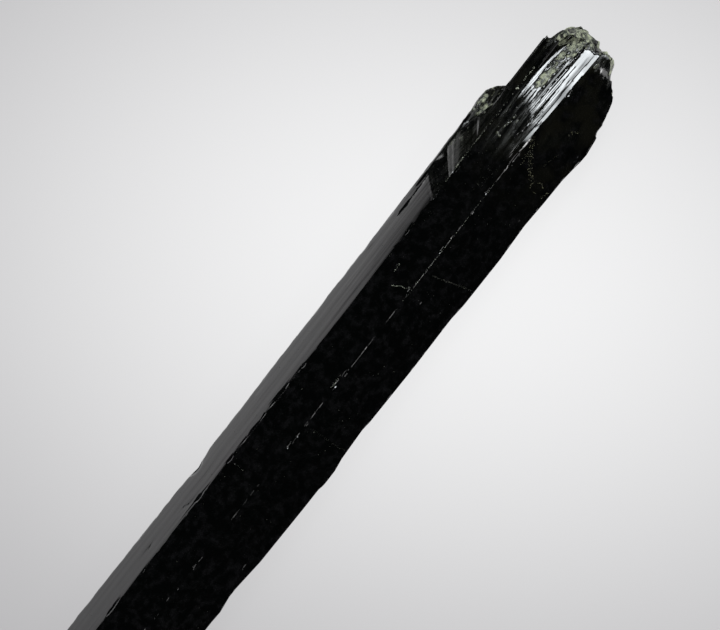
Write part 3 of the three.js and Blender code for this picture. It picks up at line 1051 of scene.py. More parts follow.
        cloud *= 0.3 + 0.16 * layered(place * 3, x * 0.6, 91, 3)
        cloud *= ramp(place, 0.1, 0.6) * ramp(-place, -5.0, -4.6)
        skin.etched[:, columns] = np.maximum(np.minimum(cloud, 0.3), etch)

    def blade_at(self, x: Array, place: Array, starts: Array) -> Array:
        """Finds which blade each point of the fluted slope is on.

        Args:
            x: Places along the crystal.
            place: Places across the slope, mm from the top face's left edge.
            starts: Where each blade starts across the slope, mm.

        Returns:
            The blades' numbers.
        """
        wander = 0.06 * unevenness(x * 0.22, place * 0.6, 63)
        wander += 0.012 * unevenness(x * 1.4, place * 5, 64)
        number = np.clip(np.searchsorted(starts, place + wander, "right") - 1, 0, len(starts) - 1)
        return np.maximum(number, (place > along(self.LEDGE_EDGE, x)).astype(int))

    def edge_middle(self, strip: Strip, x: Array) -> tuple[Array, Array]:
        """Finds an edge and the direction that it points in.

        Args:
            strip: The strip that starts at the edge.
            x: Places along the crystal.

        Returns:
            The edge's (y, z) at each place, and the direction.
        """
        before = self.skin.faces.of(strip.before()).normal()
        after = self.skin.faces.of(strip).normal()
        outward = before + after
        return self.skin.corner(strip, x)[0], outward / np.linalg.norm(outward)

    def blunt(self, bevel: Bevel) -> None:
        """Flattens an edge into a narrow strip of uneven width."""
        skin = self.skin
        corner, outward = self.edge_middle(bevel.strip, skin.x)
        lean = math.radians(bevel.lean)
        turned = np.array([
            outward[0] * math.cos(lean) - outward[1] * math.sin(lean),
            outward[0] * math.sin(lean) + outward[1] * math.cos(lean),
        ])
        wear = layered(skin.x * 0.45, skin.x * 0, 80 + bevel.strip, 3)
        width = bevel.width * np.clip(1 + bevel.vary * wear, 0.05, None)
        width += along(bevel.swell, skin.x)
        reach = corner @ turned - np.maximum(width, 0) * self.BLUNT_DEPTH
        near = skin.beside(bevel.strip, 1.5 * bevel.width + 0.15) & (skin.x < self.BEVEL_END_X)
        skin.trim(turned, np.where(near, reach, np.inf))

    def small_chips(self) -> list[EdgeChip]:
        """Picks the small chips that wear has left along every open edge."""
        random = np.random.default_rng(self.seed)
        chips = []
        for bevel in BEVELS:
            for _ in range(self.chips_per_edge):
                x = random.uniform(*self.CHIPPED_X)
                size = bevel.wear * random.uniform(0.25, 1.0) ** 2
                chips.append(EdgeChip(
                    bevel.strip, x, 0.3 + 1.9 * size, 0.05 + 0.12 * size, random.uniform(-1, 1)))
        return chips

    def chip_edge(self, chip: EdgeChip) -> None:
        """Breaks a sliver out of an edge."""
        corner, outward = self.edge_middle(chip.strip, np.array(chip.x))
        side = np.array([outward[1], -outward[0]])
        height = 1.9 * chip.bite
        centre = corner + outward * (height - chip.bite) * 0.75 - side * chip.lean * chip.bite
        turn = math.atan2(outward[1], outward[0]) + 0.5 * chip.lean
        middle = np.array([chip.x, *centre])
        self.skin.scoop(middle, (chip.length / 2, height, 2.4 * chip.bite), turn)

    def hollow_out(self, hollow: Scoop) -> None:
        """Presses a shallow hollow into a face."""
        skin = self.skin
        _, x, across = skin.grid(hollow.strip)
        along_x = (x - hollow.x) / (hollow.length / 2)
        sideways = (across - hollow.across - hollow.skew * (x - hollow.x)) / (hollow.width / 2)
        ragged = 0.25 * unevenness(x * 3, across * 4, 90)
        inside = np.clip(1 - along_x**2 - sideways**2 + ragged, 0, None)
        skin.lift(hollow.strip, -hollow.depth * np.minimum(np.sqrt(inside), 1.1))

    def etch_side_end(self) -> None:
        """Eats away the end of the thinner crystal, and dulls the face above it."""
        skin = self.skin
        for strip in (Strip.SIDE_UNDER, Strip.SIDE_LEFT, Strip.LEFT_SLOPE):
            columns, x, across = skin.grid(strip)
            out = np.linalg.norm(skin.point[:, columns, 1:] - skin.corner(Strip.TOP, x)[0], axis=-1)
            least = along(self.SIDE_RIM, x) + 0.25 * unevenness(x * 1.1, across * 0, 71)
            eaten = ramp(out, least - 0.15, least + 0.25) * ramp(x, 39.8, 42.4)
            streaks = layered(x * 0.8, out * 3.4, 72, 2)
            lumps = layered(x * 1.6, out * 2.6, 73, 2)
            skin.lift(strip, eaten * (0.045 * streaks + 0.07 * lumps - 0.06))
            skin.etch(strip, eaten * np.clip(0.46 + 0.12 * streaks + 0.16 * lumps, 0.25, 0.9))

    def etch_tip(self) -> None:
        """Roughens every face close to the weathered tip, shard by shard."""
        skin = self.skin
        left = skin.ends - skin.x
        for strip in Strip:
            columns, x, across = skin.grid(strip)
            across = across + self.STRIP_SHIFT * strip
            first, last = self.RIM_WIDTHS.get(strip, self.USUAL_RIM)
            width = first + (last - first) * skin.share[columns]
            border = width * (1 + 0.35 * layered(across * 0.9, x * 0.4, 74, 2))
            near = 1 - ramp(left[:, columns], border * 0.75, border * 1.15)
            lumps = layered(x * 1.1, across * 1.4, 75, 2)
            bumps = layered(x * 3.2, across * 4.2, 76, 2)
            height = 0.0 if strip == Strip.RIGHT_SLOPE else 0.1
            rough = height * (lumps - 0.9) + 0.35 * height * bumps
            skin.lift(strip, near * rough * ramp(border, 0, 0.5))
            pale = 0.22 if strip == Strip.RIGHT_SLOPE else 0.56
            skin.etch(strip, near * np.clip(pale + 0.25 * lumps + 0.16 * bumps, 0.12, 0.95))
            if strip == Strip.RIGHT_SLOPE:
                patchy = ramp(unevenness(x * 0.5, across * 0.5, 77), -0.3, 0.5)
                skin.etch(strip, 0.16 * ramp(x, 40, 46) * patchy)

    def splinter_base(self) -> None:
        """Cracks the long faces close to the broken base."""
        skin = self.skin
        left = skin.x - skin.starts
        for strip in Strip:
            columns, x, across = skin.grid(strip)
            across = across + self.STRIP_SHIFT * strip
            near = 1 - ramp(left[:, columns], 0.1, 0.9)
            rough = shards(x * 0.9, across * 2.6, 78)
            skin.lift(strip, near * 0.07 * (rough - 0.6))
            skin.splintered[:, columns] = near


# ---------------------------------------------------------------- node trees and meshes


Setting = float | int | bool | tuple | bpy.types.NodeSocket | bpy.types.ID


class Bench:
    """A node tree that is being wired."""

    def __init__(self, tree: bpy.types.NodeTree) -> None:
        """Starts with an empty tree."""
        self.tree = tree
        tree.nodes.clear()

    def add(self, kind: str, inputs: dict[str | int, Setting] | None = None, **settings: Setting
            ) -> bpy.types.Node:
        """Adds a node.

        Args:
            kind: The node's type.
            inputs: What goes into its sockets, by name or number: a socket or a plain value.
            settings: The node's own settings.

        Returns:
            The node.
        """
        node = self.tree.nodes.new(kind)
        for name, value in settings.items():
            setattr(node, name, value)
        for key, value in (inputs or {}).items():
            socket = node.inputs[key]
            if isinstance(value, bpy.types.NodeSocket):
                self.tree.links.new(value, socket)
            else:
                socket.default_value = value
        return node

    def math(self, operation: str, *values: Setting) -> bpy.types.NodeSocket:
        """Adds a Math node and returns its result."""
        inputs = dict(enumerate(values))
        return self.add("ShaderNodeMath", inputs, operation=operation).outputs[0]

    def vector(self, operation: str, *values: Setting) -> bpy.types.Node:
        """Adds a Vector Math node."""
        return self.add("ShaderNodeVectorMath", dict(enumerate(values)), operation=operation)

    def scaled(self, value: bpy.types.NodeSocket, by: Setting) -> bpy.types.NodeSocket:
        """Adds a node that scales a vector, and returns its result."""
        return self.add(
            "ShaderNodeVectorMath", {0: value, "Scale": by}, operation="SCALE").outputs[0]

    def random(self, low: Setting, high: Setting, seed: Setting) -> bpy.types.NodeSocket:
        """Adds a random value between two numbers, or between two vectors."""
        if isinstance(low, tuple):
            inputs = {0: low, 1: high, "Seed": seed}
            return self.add("FunctionNodeRandomValue", inputs, data_type="FLOAT_VECTOR").outputs[0]
        return self.add("FunctionNodeRandomValue", {2: low, 3: high, "Seed": seed}).outputs[1]

    def strew(self, points: Setting, shape: Setting, turn: Setting, sizes: Setting,
              finish: Setting) -> None:
        """Puts a dressed shape on every point, and gives them as the tree's result.

        Args:
            points: Where they go.
            shape: What goes there.
            turn: How each is turned.
            sizes: How large each is, as a vector.
            finish: Their material.
        """
        placed = self.add("GeometryNodeInstanceOnPoints", {
            "Points": points, "Instance": shape, "Rotation": turn, "Scale": sizes})
        real = self.add("GeometryNodeRealizeInstances", {0: placed.outputs[0]})
        dressed = self.add("GeometryNodeSetMaterial", {
            "Geometry": real.outputs[0], "Material": finish})
        self.add("NodeGroupOutput", {0: dressed.outputs[0]})

    def noise(self, place: bpy.types.NodeSocket, scale: float, detail: float = 3.0,
              roughness: float = 0.5) -> bpy.types.NodeSocket:
        """Adds a Noise Texture.

        Args:
            place: Where it is read.
            scale: How many bumps there are in a unit.
            detail: How many finer layers it has.
            roughness: How strong they are.

        Returns:
            Its value, from 0 to 1.
        """
        inputs = {"Vector": place, "Scale": scale, "Detail": detail, "Roughness": roughness}
        return self.add("ShaderNodeTexNoise", inputs).outputs["Fac"]

    def steps(self, value: bpy.types.NodeSocket, low: Setting, high: Setting, bottom: float = 0.0,
              top: float = 1.0) -> bpy.types.NodeSocket:
        """Adds a smooth Map Range.

        Args:
            value: What is mapped.
            low: Where it gives the bottom.
            high: Where it gives the top.
            bottom: The lowest result.
            top: The highest.

        Returns:
            The result.
        """
        inputs = {0: value, 1: low, 2: high, 3: bottom, 4: top}
        return self.add("ShaderNodeMapRange", inputs, interpolation_type="SMOOTHSTEP").outputs[0]

    def mix(self, share: bpy.types.NodeSocket, first: Setting, second: Setting
            ) -> bpy.types.NodeSocket:
        """Mixes two colours.

        Args:
            share: How much of the second there is.
            first: The first colour.
            second: The second colour.

        Returns:
            The mixed colour.
        """
        node = self.add("ShaderNodeMix", {0: share, 6: first, 7: second}, data_type="RGBA")
        return node.outputs[2]


def new_material(name: str) -> tuple[bpy.types.Material, Bench]:
    """Makes a material with an empty node tree, and a bench to wire it on."""
    material = bpy.data.materials.new(name)
    material.use_nodes = True
    return material, Bench(material.node_tree)


def new_group(name: str, geometry: str, numbers: Iterable[str]
              ) -> tuple[bpy.types.GeometryNodeTree, Bench]:
    """Makes a Geometry Nodes tree that takes a seed and a finish and gives a result.

    Args:
        name: The name of the piece that it makes.
        geometry: The name of the input that takes the geometry.
        numbers: The names of the inputs that take plain numbers.

    Returns:
        The tree, and a bench to wire it on.
    """
    tree = bpy.data.node_groups.new(name + "_nodes", "GeometryNodeTree")
    kinds = {
        geometry: "Geometry", **dict.fromkeys(numbers, "Float"),
        "Seed": "Int", "Finish": "Material",
    }
    for socket, kind in kinds.items():
        tree.interface.new_socket(socket, in_out="INPUT", socket_type="NodeSocket" + kind)
    tree.interface.new_socket("Result", in_out="OUTPUT", socket_type="NodeSocketGeometry")
    return tree, Bench(tree)


def colour(red: float, green: float, blue: float) -> tuple[float, float, float, float]:
    """A solid colour, from its linear parts."""
    return (red, green, blue, 1.0)


def new_piece(name: str, mesh: bpy.types.Mesh) -> bpy.types.Object:
    """Puts a mesh in the scene as an object at the origin."""
    piece = bpy.data.objects.new(name, mesh)
    bpy.context.scene.collection.objects.link(piece)
    return piece


def mesh_of(name: str, points: Array, faces: Array | Sequence[Sequence[int]]) -> bpy.types.Mesh:
    """Makes a mesh.

    Args:
        name: The mesh's name.
        points: Its points, in metres.
        faces: Its faces, as numbers of points.

    Returns:
        The mesh.
    """
    mesh = bpy.data.meshes.new(name)
    mesh.from_pydata(np.asarray(points).tolist(), [], [list(map(int, face)) for face in faces])
    return mesh


def applied(piece: bpy.types.Object, name: str) -> bpy.types.Object:
    """Turns a piece with modifiers into a plain one.

    Args:
        piece: The piece, which is removed.
        name: The new piece's name.

    Returns:
        The new piece.
    """
    evaluated = piece.evaluated_get(bpy.context.evaluated_depsgraph_get())
    mesh = bpy.data.meshes.new_from_object(evaluated)
    mesh.name = name
    old = piece.data
    bpy.data.objects.remove(piece)
    if old.users == 0:
        bpy.data.meshes.remove(old)
    return new_piece(name, mesh)


def grown(host: bpy.types.Object, tree: bpy.types.GeometryNodeTree,
          values: dict[str, Setting], name: str) -> bpy.types.Object:
    """Runs a Geometry Nodes tree on a piece.

    Args:
        host: The piece, which is removed.
        tree: The tree.
        values: What its inputs are set to, by name.
        name: The new piece's name.

    Returns:
        The new piece.
    """
    modifier = host.modifiers.new("grown", "NODES")
    modifier.node_group = tree
    for item in tree.interface.items_tree:
        if item.in_out == "INPUT" and item.name in values:
            modifier[item.identifier] = values[item.name]
    return applied(host, name)


def claim(piece: bpy.types.Object) -> None:
    """Says that a piece belongs to the crystal, and logs how many faces it has."""
    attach(piece, BODY)
    LOG.info("%s: %d faces", piece.name, len(piece.data.polygons))


# ---------------------------------------------------------------- finishes


@dataclass(frozen=True)
class AegirineFinish:
    """Greenish-black, glassy aegirine that turns pale and dull where it is etched.

    Attributes:
        name: The material's name.
        glass: The colour under the gloss.
        tinge: The brownish colour of the patches near the tip.
        film: The colour of the thin film of dust on the faces.
        bloom: The colour of faces that are only a little etched.
        pale: The lighter of the etched colours.
        dull: The darker of them.
        index: The index of refraction.
        gloss: How strong the gloss is; 0.5 is that of the bare index.
        polish: The roughness of the fresh faces.
        grain_scale: How close the lengthwise grain is along each axis, for a metre.
        speckle_scale: How close the etched speckles are along each axis, for a metre.
        speckle_blend: How softly a speckle ends.
    """

    name: str = "aegirine_glassy"
    glass: tuple[float, float, float] = (0.0006, 0.0008, 0.0007)
    tinge: tuple[float, float, float] = (0.0045, 0.0044, 0.003)
    film: tuple[float, float, float] = (0.0055, 0.0055, 0.006)
    bloom: tuple[float, float, float] = (0.011, 0.012, 0.009)
    pale: tuple[float, float, float] = (0.46, 0.5, 0.34)
    dull: tuple[float, float, float] = (0.032, 0.04, 0.028)
    index: float = 1.84
    gloss: float = 0.62
    polish: float = 0.045
    grain_scale: tuple[float, float, float] = (90, 1500, 1500)
    speckle_scale: tuple[float, float, float] = (850, 1400, 1400)
    speckle_blend: float = 0.11

    def material(self) -> bpy.types.Material:
        """Makes the material."""
        material, bench = new_material(self.name)
        place = bench.add("ShaderNodeTexCoord").outputs["Object"]
        lengthwise = bench.add("ShaderNodeMapping", {"Vector": place, "Scale": self.grain_scale})
        grain = bench.noise(lengthwise.outputs[0], 1.0, 4, 0.6)
        patch = bench.noise(place, 260, 3, 0.55)
        drawn = bench.add("ShaderNodeMapping", {"Vector": place, "Scale": self.speckle_scale})
        speckle = bench.noise(drawn.outputs[0], 1.0, 3, 0.5)
        fleck = bench.noise(place, 1800, 3, 0.5)
        etched, broken = (
            bench.add("ShaderNodeAttribute", attribute_name=mark.value).outputs["Fac"]
            for mark in (Mark.ETCHED, Mark.SPLINTERED))
        bar = bench.math("MULTIPLY_ADD", etched, -0.72, 0.94)
        low_bar = bench.math("SUBTRACT", bar, self.speckle_blend)
        high_bar = bench.math("ADD", bar, self.speckle_blend)
        cover = bench.steps(speckle, low_bar, high_bar)
        lengths = bench.add("ShaderNodeSeparateXYZ", {0: place}).outputs["X"]
        # Brownish patches, on the faces near the tip.
        near_tip = bench.steps(lengths, 0.032, 0.05)
        brown_patches = bench.math("MULTIPLY", near_tip, bench.steps(patch, 0.42, 0.62))
        filmed = bench.steps(bench.noise(place, 900, 6, 0.7), 0.44, 0.72)
        dusty = bench.mix(filmed, colour(*self.glass), colour(*self.film))
        browned = bench.mix(brown_patches, dusty, colour(*self.tinge))
        cloudy = bench.steps(grain, 0.35, 0.65)
        clouded = bench.math("MULTIPLY", bench.steps(etched, 0.08, 0.4), cloudy)
        fresh = bench.mix(clouded, browned, colour(*self.bloom))
        worn = bench.mix(bench.steps(fleck, 0.34, 0.66), colour(*self.dull), colour(*self.pale))
        soft = bench.math("MULTIPLY_ADD", grain, 0.05, self.polish)
        softer = bench.math("MULTIPLY_ADD", broken, 0.12, soft)
        streaked = bench.steps(grain, 0.4, 0.62, 0.25, 1.0)
        eaten = bench.math("MULTIPLY", bench.steps(etched, 0.02, 0.45, 0.0, 0.4), streaked)
        rough = bench.math("MULTIPLY_ADD", cover, 0.3, eaten)
        low = bench.add("ShaderNodeBump", {"Height": grain, "Strength": 0.25, "Distance": 0.000012})
        height = bench.math("MULTIPLY", cover, speckle)
        bump = {"Height": height, "Strength": 0.6, "Distance": 0.0002, "Normal": low.outputs[0]}
        high = bench.add("ShaderNodeBump", bump)
        shader = bench.add("ShaderNodeBsdfPrincipled", {
            "Base Color": bench.mix(cover, fresh, worn),
            "Roughness": bench.math("ADD", softer, rough),
            "Normal": high.outputs[0],
            "IOR": self.index,
            "Specular IOR Level": self.gloss,
        })
        bench.add("ShaderNodeOutputMaterial", {"Surface": shader.outputs[0]})
        return material


@dataclass(frozen=True)
class GrainFinish:
    """Dull loose or etched grains, each in its own shade.

    Attributes:
        name: The material's name.
        dark: The darkest shade.
        light: The lightest shade.
        roughness: How dull they are.
    """

    name: str
    dark: tuple[float, float, float]
    light: tuple[float, float, float]
    roughness: float = 0.5

    def material(self) -> bpy.types.Material:
        """Makes the material."""
        material, bench = new_material(self.name)
        place = bench.add("ShaderNodeTexCoord").outputs["Object"]
        shade = bench.steps(bench.noise(place, 2100, 3, 0.6), 0.36, 0.64)
        fine = bench.noise(place, 9000, 3, 0.6)
        bump = bench.add("ShaderNodeBump", {"Height": fine, "Strength": 0.5, "Distance": 0.00003})
        rough = bench.math("MULTIPLY_ADD", fine, 0.25, self.roughness - 0.12)
        shader = bench.add("ShaderNodeBsdfPrincipled", {
            "Base Color": bench.mix(shade, colour(*self.dark), colour(*self.light)),
            "Roughness": rough,
            "Normal": bump.outputs[0],
            "IOR": 1.7,
        })
        bench.add("ShaderNodeOutputMaterial", {"Surface": shader.outputs[0]})
        return material


ETCHED_GRAIN = GrainFinish("aegirine_etched_grain", (0.04, 0.05, 0.035), (0.42, 0.45, 0.36))
STAINED_GRAIN = GrainFinish("aegirine_stained_grain", (0.03, 0.03, 0.015), (0.15, 0.15, 0.08))
DUST_GRAIN = GrainFinish("aegirine_dust", (0.01, 0.011, 0.008), (0.08, 0.085, 0.06))
SPLINTER_GRAIN = GrainFinish("aegirine_splinter", (0.004, 0.005, 0.004), (0.02, 0.024, 0.018), 0.28)


# ---------------------------------------------------------------- the crystal


@dataclass
class Crystal:
    """The whole crystal as one skin, closed at both ends.

    Attributes:
        name: The piece's name.
        skin: Its long surface.
        rings: How many rings close each end.
        kept_share: The share of the faces that is kept when flat stretches are thinned.
        crease: The angle past which an edge is drawn sharp, degrees.
        finish: Its finish.
    """

    name: str = "crystal"
    skin: CrystalSkin = field(default_factory=CrystalSkin)
    rings: int = 38
    kept_share: float = 0.36
    crease: float = 16.0
    finish: AegirineFinish = AegirineFinish()

    def build(self) -> bpy.types.Object:
        """Builds the crystal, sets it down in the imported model's box and dresses it."""
        Weathering(self.skin).apply()
        points, faces, marks = self.closed()
        self.offset = self.set_down(points)
        mesh = mesh_of(self.name, (points + self.offset) * MM, faces)
        for mark, values in marks.items():
            attribute = mesh.attributes.new(mark.value, "FLOAT", "POINT")
            attribute.data.foreach_set("value", values)
        piece = new_piece(self.name + "_full", mesh)
        thin = piece.modifiers.new("thin", "DECIMATE")
        thin.ratio = self.kept_share
        piece = applied(piece, self.name)
        piece.data.shade_smooth()
        piece.data.set_sharp_from_angle(angle=math.radians(self.crease))
        piece.data.materials.append(self.finish.material())
        return piece

    def set_down(self, points: Array) -> Array:
        """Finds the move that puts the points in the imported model's box, on the floor."""
        low, high = points.min(0), points.max(0)
        box_low, box_high = (np.array(corner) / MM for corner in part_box(NODE))
        offset = (box_low + box_high) / 2 - (low + high) / 2
        offset[2] = box_low[2] - low[2]
        return offset

    def closed(self) -> tuple[Array, Array, dict[Mark, Array]]:
        """Joins the skin and its two ends.

        Returns:
            The points in mm, the faces, and the marks on the points.
        """
        skin = self.skin
        columns = skin.x.shape[1]
        tip, base = (
            self.cap(rim, lambda y, z, end=end: end.reach(y, z) + end.grain(y, z))
            for rim, end in ((skin.point[-1], skin.tip), (skin.point[0], skin.base)))
        rows = np.concatenate([base[::-1], skin.point, tip])
        ends = np.array([base[-1].mean(0), tip[-1].mean(0)])
        points = np.concatenate([rows.reshape(-1, 3), ends])
        column = np.arange(columns)
        after = (column + 1) % columns
        first = np.arange(len(rows) - 1)[:, None] * columns
        far = first + columns
        quads = np.stack([first + column, first + after, far + after, far + column], -1)
        faces = [*quads.reshape(-1, 4)]
        last = (len(rows) - 1) * columns
        middle = len(points) - 2
        faces += [(middle, b, a) for a, b in zip(column, after)]
        faces += [(middle + 1, last + a, last + b) for a, b in zip(column, after)]
        eaten = skin.tip.paleness(tip[..., 1], tip[..., 2])
        etched = np.concatenate([np.zeros(base.shape[:2]), skin.etched, eaten])
        broken = np.concatenate([np.ones(base.shape[:2]), skin.splintered, np.zeros(tip.shape[:2])])
        marks = {
            Mark.ETCHED: np.append(etched.ravel(), [0, 1]),
            Mark.SPLINTERED: np.append(broken.ravel(), [1, 0]),
        }
        return points, faces, marks

    def cap(self, rim: Array, surface: Callable[[Array, Array], Array]) -> Array:
        """Closes an end with rings that shrink to its middle.

        Args:
            rim: The points of the skin's last ring.
            surface: How far the end reaches at each (y, z).

        Returns:
            The rings, outermost first.
        """
        size = 1 - np.arange(1, self.rings) / self.rings
        middle = (rim[:, 1:].min(0) + rim[:, 1:].max(0)) / 2
        flat = middle + size[:, None, None] * (rim[:, 1:] - middle)
        blend = ramp(1 - size, 0, 0.06)[:, None]
        x = rim[:, 0] * (1 - blend) + surface(flat[..., 0], flat[..., 1]) * blend
        return np.concatenate([x[..., None], flat], -1)


# ---------------------------------------------------------------- grains, needles and traces


class Form(Enum):
    """The small shapes that are strewn over the crystal."""

    GRAIN = "grain"
    NEEDLE = "needle"
    SPLINTER = "splinter"


@dataclass(frozen=True)
class Strewing:
    """Small shapes strewn over the marked parts of the crystal, by Geometry Nodes.

    Attributes:
        name: The piece's name.
        form: What is strewn.
        mark: The map that says where.
        least: The lowest mark that gets any.
        density: How many there are on a square millimetre where the mark is 1.
        size: Their half width, mm.
        stretch: How many times longer than wide they are.
        finish: Their finish.
        seed: Picks another strewing.
        from_x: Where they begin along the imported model, mm.
        to_x: Where they stop.
        from_z: The lowest that they are over the floor, mm.
        to_z: The highest.
        endwise: How far the surface may turn towards the crystal's ends, where 1 is all the way.
        jitter: How far they stray from lying along the crystal.
    """

    name: str
    form: Form
    mark: Mark
    least: float
    density: float
    size: float
    stretch: float
    finish: GrainFinish
    seed: int
    from_x: float = -70.0
    to_x: float = 70.0
    from_z: float = 0.7
    to_z: float = 9.6
    endwise: float = 2.0
    jitter: float = 0.35

    def tree(self) -> bpy.types.GeometryNodeTree:
        """Builds the node tree, with its sizes as named inputs."""
        numbers = ("Density", "Size", "Stretch", "Least mark")
        tree, bench = new_group(self.name, "Surface", numbers)
        given = bench.add("NodeGroupInput").outputs
        mark = bench.add("GeometryNodeInputNamedAttribute", {0: self.mark.value}, data_type="FLOAT")
        place = bench.add("GeometryNodeInputPosition").outputs[0]
        x, _, z = bench.add("ShaderNodeSeparateXYZ", {0: place}).outputs
        inside = 1.0
        for value, low, high in ((x, self.from_x, self.to_x), (z, self.from_z, self.to_z)):
            above = bench.math("GREATER_THAN", value, low * MM)
            below = bench.math("LESS_THAN", value, high * MM)
            inside = bench.math("MULTIPLY", inside, bench.math("MULTIPLY", above, below))
        share = bench.steps(mark.outputs[0], given["Least mark"], 1.0)
        facing = bench.add("GeometryNodeInputNormal").outputs[0]
        facing_x = bench.add("ShaderNodeSeparateXYZ", {0: facing}).outputs[0]
        endwise = bench.math("ABSOLUTE", facing_x)
        inside = bench.math("MULTIPLY", inside, bench.math("LESS_THAN", endwise, self.endwise))
        density = bench.math("MULTIPLY", bench.math("MULTIPLY", share, given["Density"]), inside)
        points = bench.add("GeometryNodeDistributePointsOnFaces", {
            "Mesh": given["Surface"], "Density": density, "Seed": given["Seed"]})
        normal = points.outputs["Normal"]
        lean = bench.vector("DOT_PRODUCT", normal, (1.0, 0.0, 0.0)).outputs["Value"]
        forward = bench.vector("SUBTRACT", (1.0, 0.0, 0.0), bench.scaled(normal, lean))
        jitter = bench.random((-self.jitter,) * 3, (self.jitter,) * 3, given["Seed"])
        aim = bench.vector("ADD", forward.outputs[0], jitter)
        turn = bench.add("FunctionNodeAlignRotationToVector", {"Vector": aim.outputs[0]}, axis="Z")
        width = bench.math("MULTIPLY", bench.random(0.45, 1.35, given["Seed"]), given["Size"])
        stretch = bench.math("MULTIPLY", given["Stretch"], bench.random(0.5, 1.5, self.seed + 1))
        length = bench.math("MULTIPLY", width, stretch)
        sizes = bench.add("ShaderNodeCombineXYZ", {0: width, 1: width, 2: length}).outputs[0]
        where = points.outputs["Points"]
        bench.strew(where, self.shape(bench), turn.outputs[0], sizes, given["Finish"])
        return tree

    def shape(self, bench: Bench) -> bpy.types.NodeSocket:
        """Adds the node that makes one of the small shapes, about 1 unit in radius."""
        if self.form is Form.GRAIN:
            sphere = {"Radius": 1.0, "Subdivisions": 1}
            return bench.add("GeometryNodeMeshIcoSphere", sphere).outputs[0]
        if self.form is Form.NEEDLE:
            sizes = {"Vertices": 5, "Radius Top": 0.35, "Radius Bottom": 1.0, "Depth": 2.0}
        else:
            sizes = {"Vertices": 4, "Radius Top": 0.0, "Radius Bottom": 1.0, "Depth": 2.0}
        return bench.add("GeometryNodeMeshCone", sizes).outputs[0]

    def build(self, surface: bpy.types.Mesh) -> bpy.types.Object:
        """Strews the shapes over a surface.

        Args:
            surface: The crystal's mesh, with its marks.

        Returns:
            The shapes, joined as one piece.
        """
        host = new_piece(self.name + "_host", surface.copy())
        tree = self.tree()
        values = {
            "Density": self.density / MM**2, "Size": self.size * MM, "Stretch": self.stretch,
            "Least mark": self.least, "Seed": self.seed, "Finish": self.finish.material(),
        }
        piece = grown(host, tree, values, self.name)
        piece.data.shade_flat()
        return piece


STREWINGS: tuple[Strewing, ...] = (
    Strewing("tip_crystallites", Form.GRAIN, Mark.ETCHED, 0.75, 4.0, 0.075, 1.5, ETCHED_GRAIN, 3),
    Strewing(
        "slope_needles", Form.NEEDLE, Mark.ETCHED, 0.25, 3.0, 0.02, 10.0, ETCHED_GRAIN, 5,
        from_x=48.0, to_x=57.5, endwise=0.35, jitter=0.04),
    Strewing(
        "base_splinters", Form.SPLINTER, Mark.SPLINTERED, 0.5, 1.6, 0.1, 3.5, SPLINTER_GRAIN, 7,
        from_z=1.7, to_z=8.8),
    Strewing(
        "dust", Form.GRAIN, Mark.ETCHED, -0.05, 20.0, 0.03, 1.6, DUST_GRAIN, 9,
        from_x=-55.0, to_x=41.0, from_z=6.0, to_z=10.35),
)


@dataclass(frozen=True)
class Trace:
    """A thin crack or a trail of grains on one face.

    Attributes:
        strip: The face's strip.
        path: Its (x, across) points, mm.
        spread: How far its grains stray to each side, mm.
        grains: How many grains there are on a millimetre.
        size: The grains' half width, mm.
    """

    strip: Strip
    path: Points
    spread: float
    grains: float
    size: float


CRACKS: tuple[Trace, ...] = (
    Trace(
        Strip.TOP,
        ((18.6, 2.6), (18.9, 3.1), (19.3, 3.6), (19.3, 4.1), (19.7, 4.7)), 0.05, 16, 0.045),
    Trace(Strip.TOP, ((-11.9, 0.8), (-11.7, 1.4), (-11.8, 2.2)), 0.04, 9, 0.022),
    Trace(Strip.TOP, ((20.2, 1.7), (20.8, 1.75), (21.4, 1.7)), 0.06, 9, 0.036),
    Trace(Strip.TOP, ((3.6, 4.6), (4.3, 4.7), (5.4, 4.6)), 0.08, 5, 0.04),
)

FAINT_CRACKS: tuple[Trace, ...] = (
    Trace(
        Strip.RIGHT_SLOPE,
        ((22.8, 1.2), (23.1, 2.4), (23.5, 3.7), (24.0, 5.3), (24.5, 7.2)), 0.1, 16, 0.028),
    Trace(Strip.RIGHT_SLOPE, ((-2.3, 1.0), (-2.1, 3.0), (-2.2, 5.0), (-1.9, 7.2)), 0.12, 9, 0.022),
    Trace(Strip.TOP, ((34.3, 3.1), (36.0, 3.6), (38.8, 4.0)), 0.5, 9, 0.03),
    Trace(Strip.TOP, ((28.0, 0.7), (29.4, 0.9)), 0.3, 7, 0.03),
)

TRAILS: tuple[Trace, ...] = (
    Trace(
        Strip.RIGHT_SLOPE,
        ((44.6, 0.2), (44.0, 1.0), (42.9, 1.4), (42.1, 2.2), (41.0, 3.1), (40.4, 3.9)),
        0.4, 20, 0.04),
    Trace(Strip.RIGHT_SLOPE, ((42.6, 1.0), (41.8, 1.3), (41.2, 1.6)), 0.35, 12, 0.036),
    Trace(Strip.RIGHT_SLOPE, ((39.5, 4.6), (39.9, 4.3), (40.4, 4.5)), 0.07, 16, 0.036),
    Trace(Strip.RIGHT_SLOPE, ((40.7, 5.0), (40.9, 5.6), (40.5, 6.1)), 0.07, 13, 0.036),
    Trace(Strip.RIGHT_SLOPE, ((39.4, 5.2), (39.5, 5.8)), 0.08, 9, 0.032),
    Trace(Strip.RIGHT_SLOPE, ((39.5, 6.7), (40.2, 6.9), (40.5, 7.2)), 0.12, 12, 0.036),
    Trace(Strip.RIGHT_SLOPE, ((42.8, 4.1), (43.9, 4.3), (45.2, 4.6)), 0.08, 8, 0.028),
    Trace(Strip.RIGHT_SLOPE, ((48.0, 3.9), (48.7, 4.2), (49.1, 4.8)), 0.2, 12, 0.036),
)

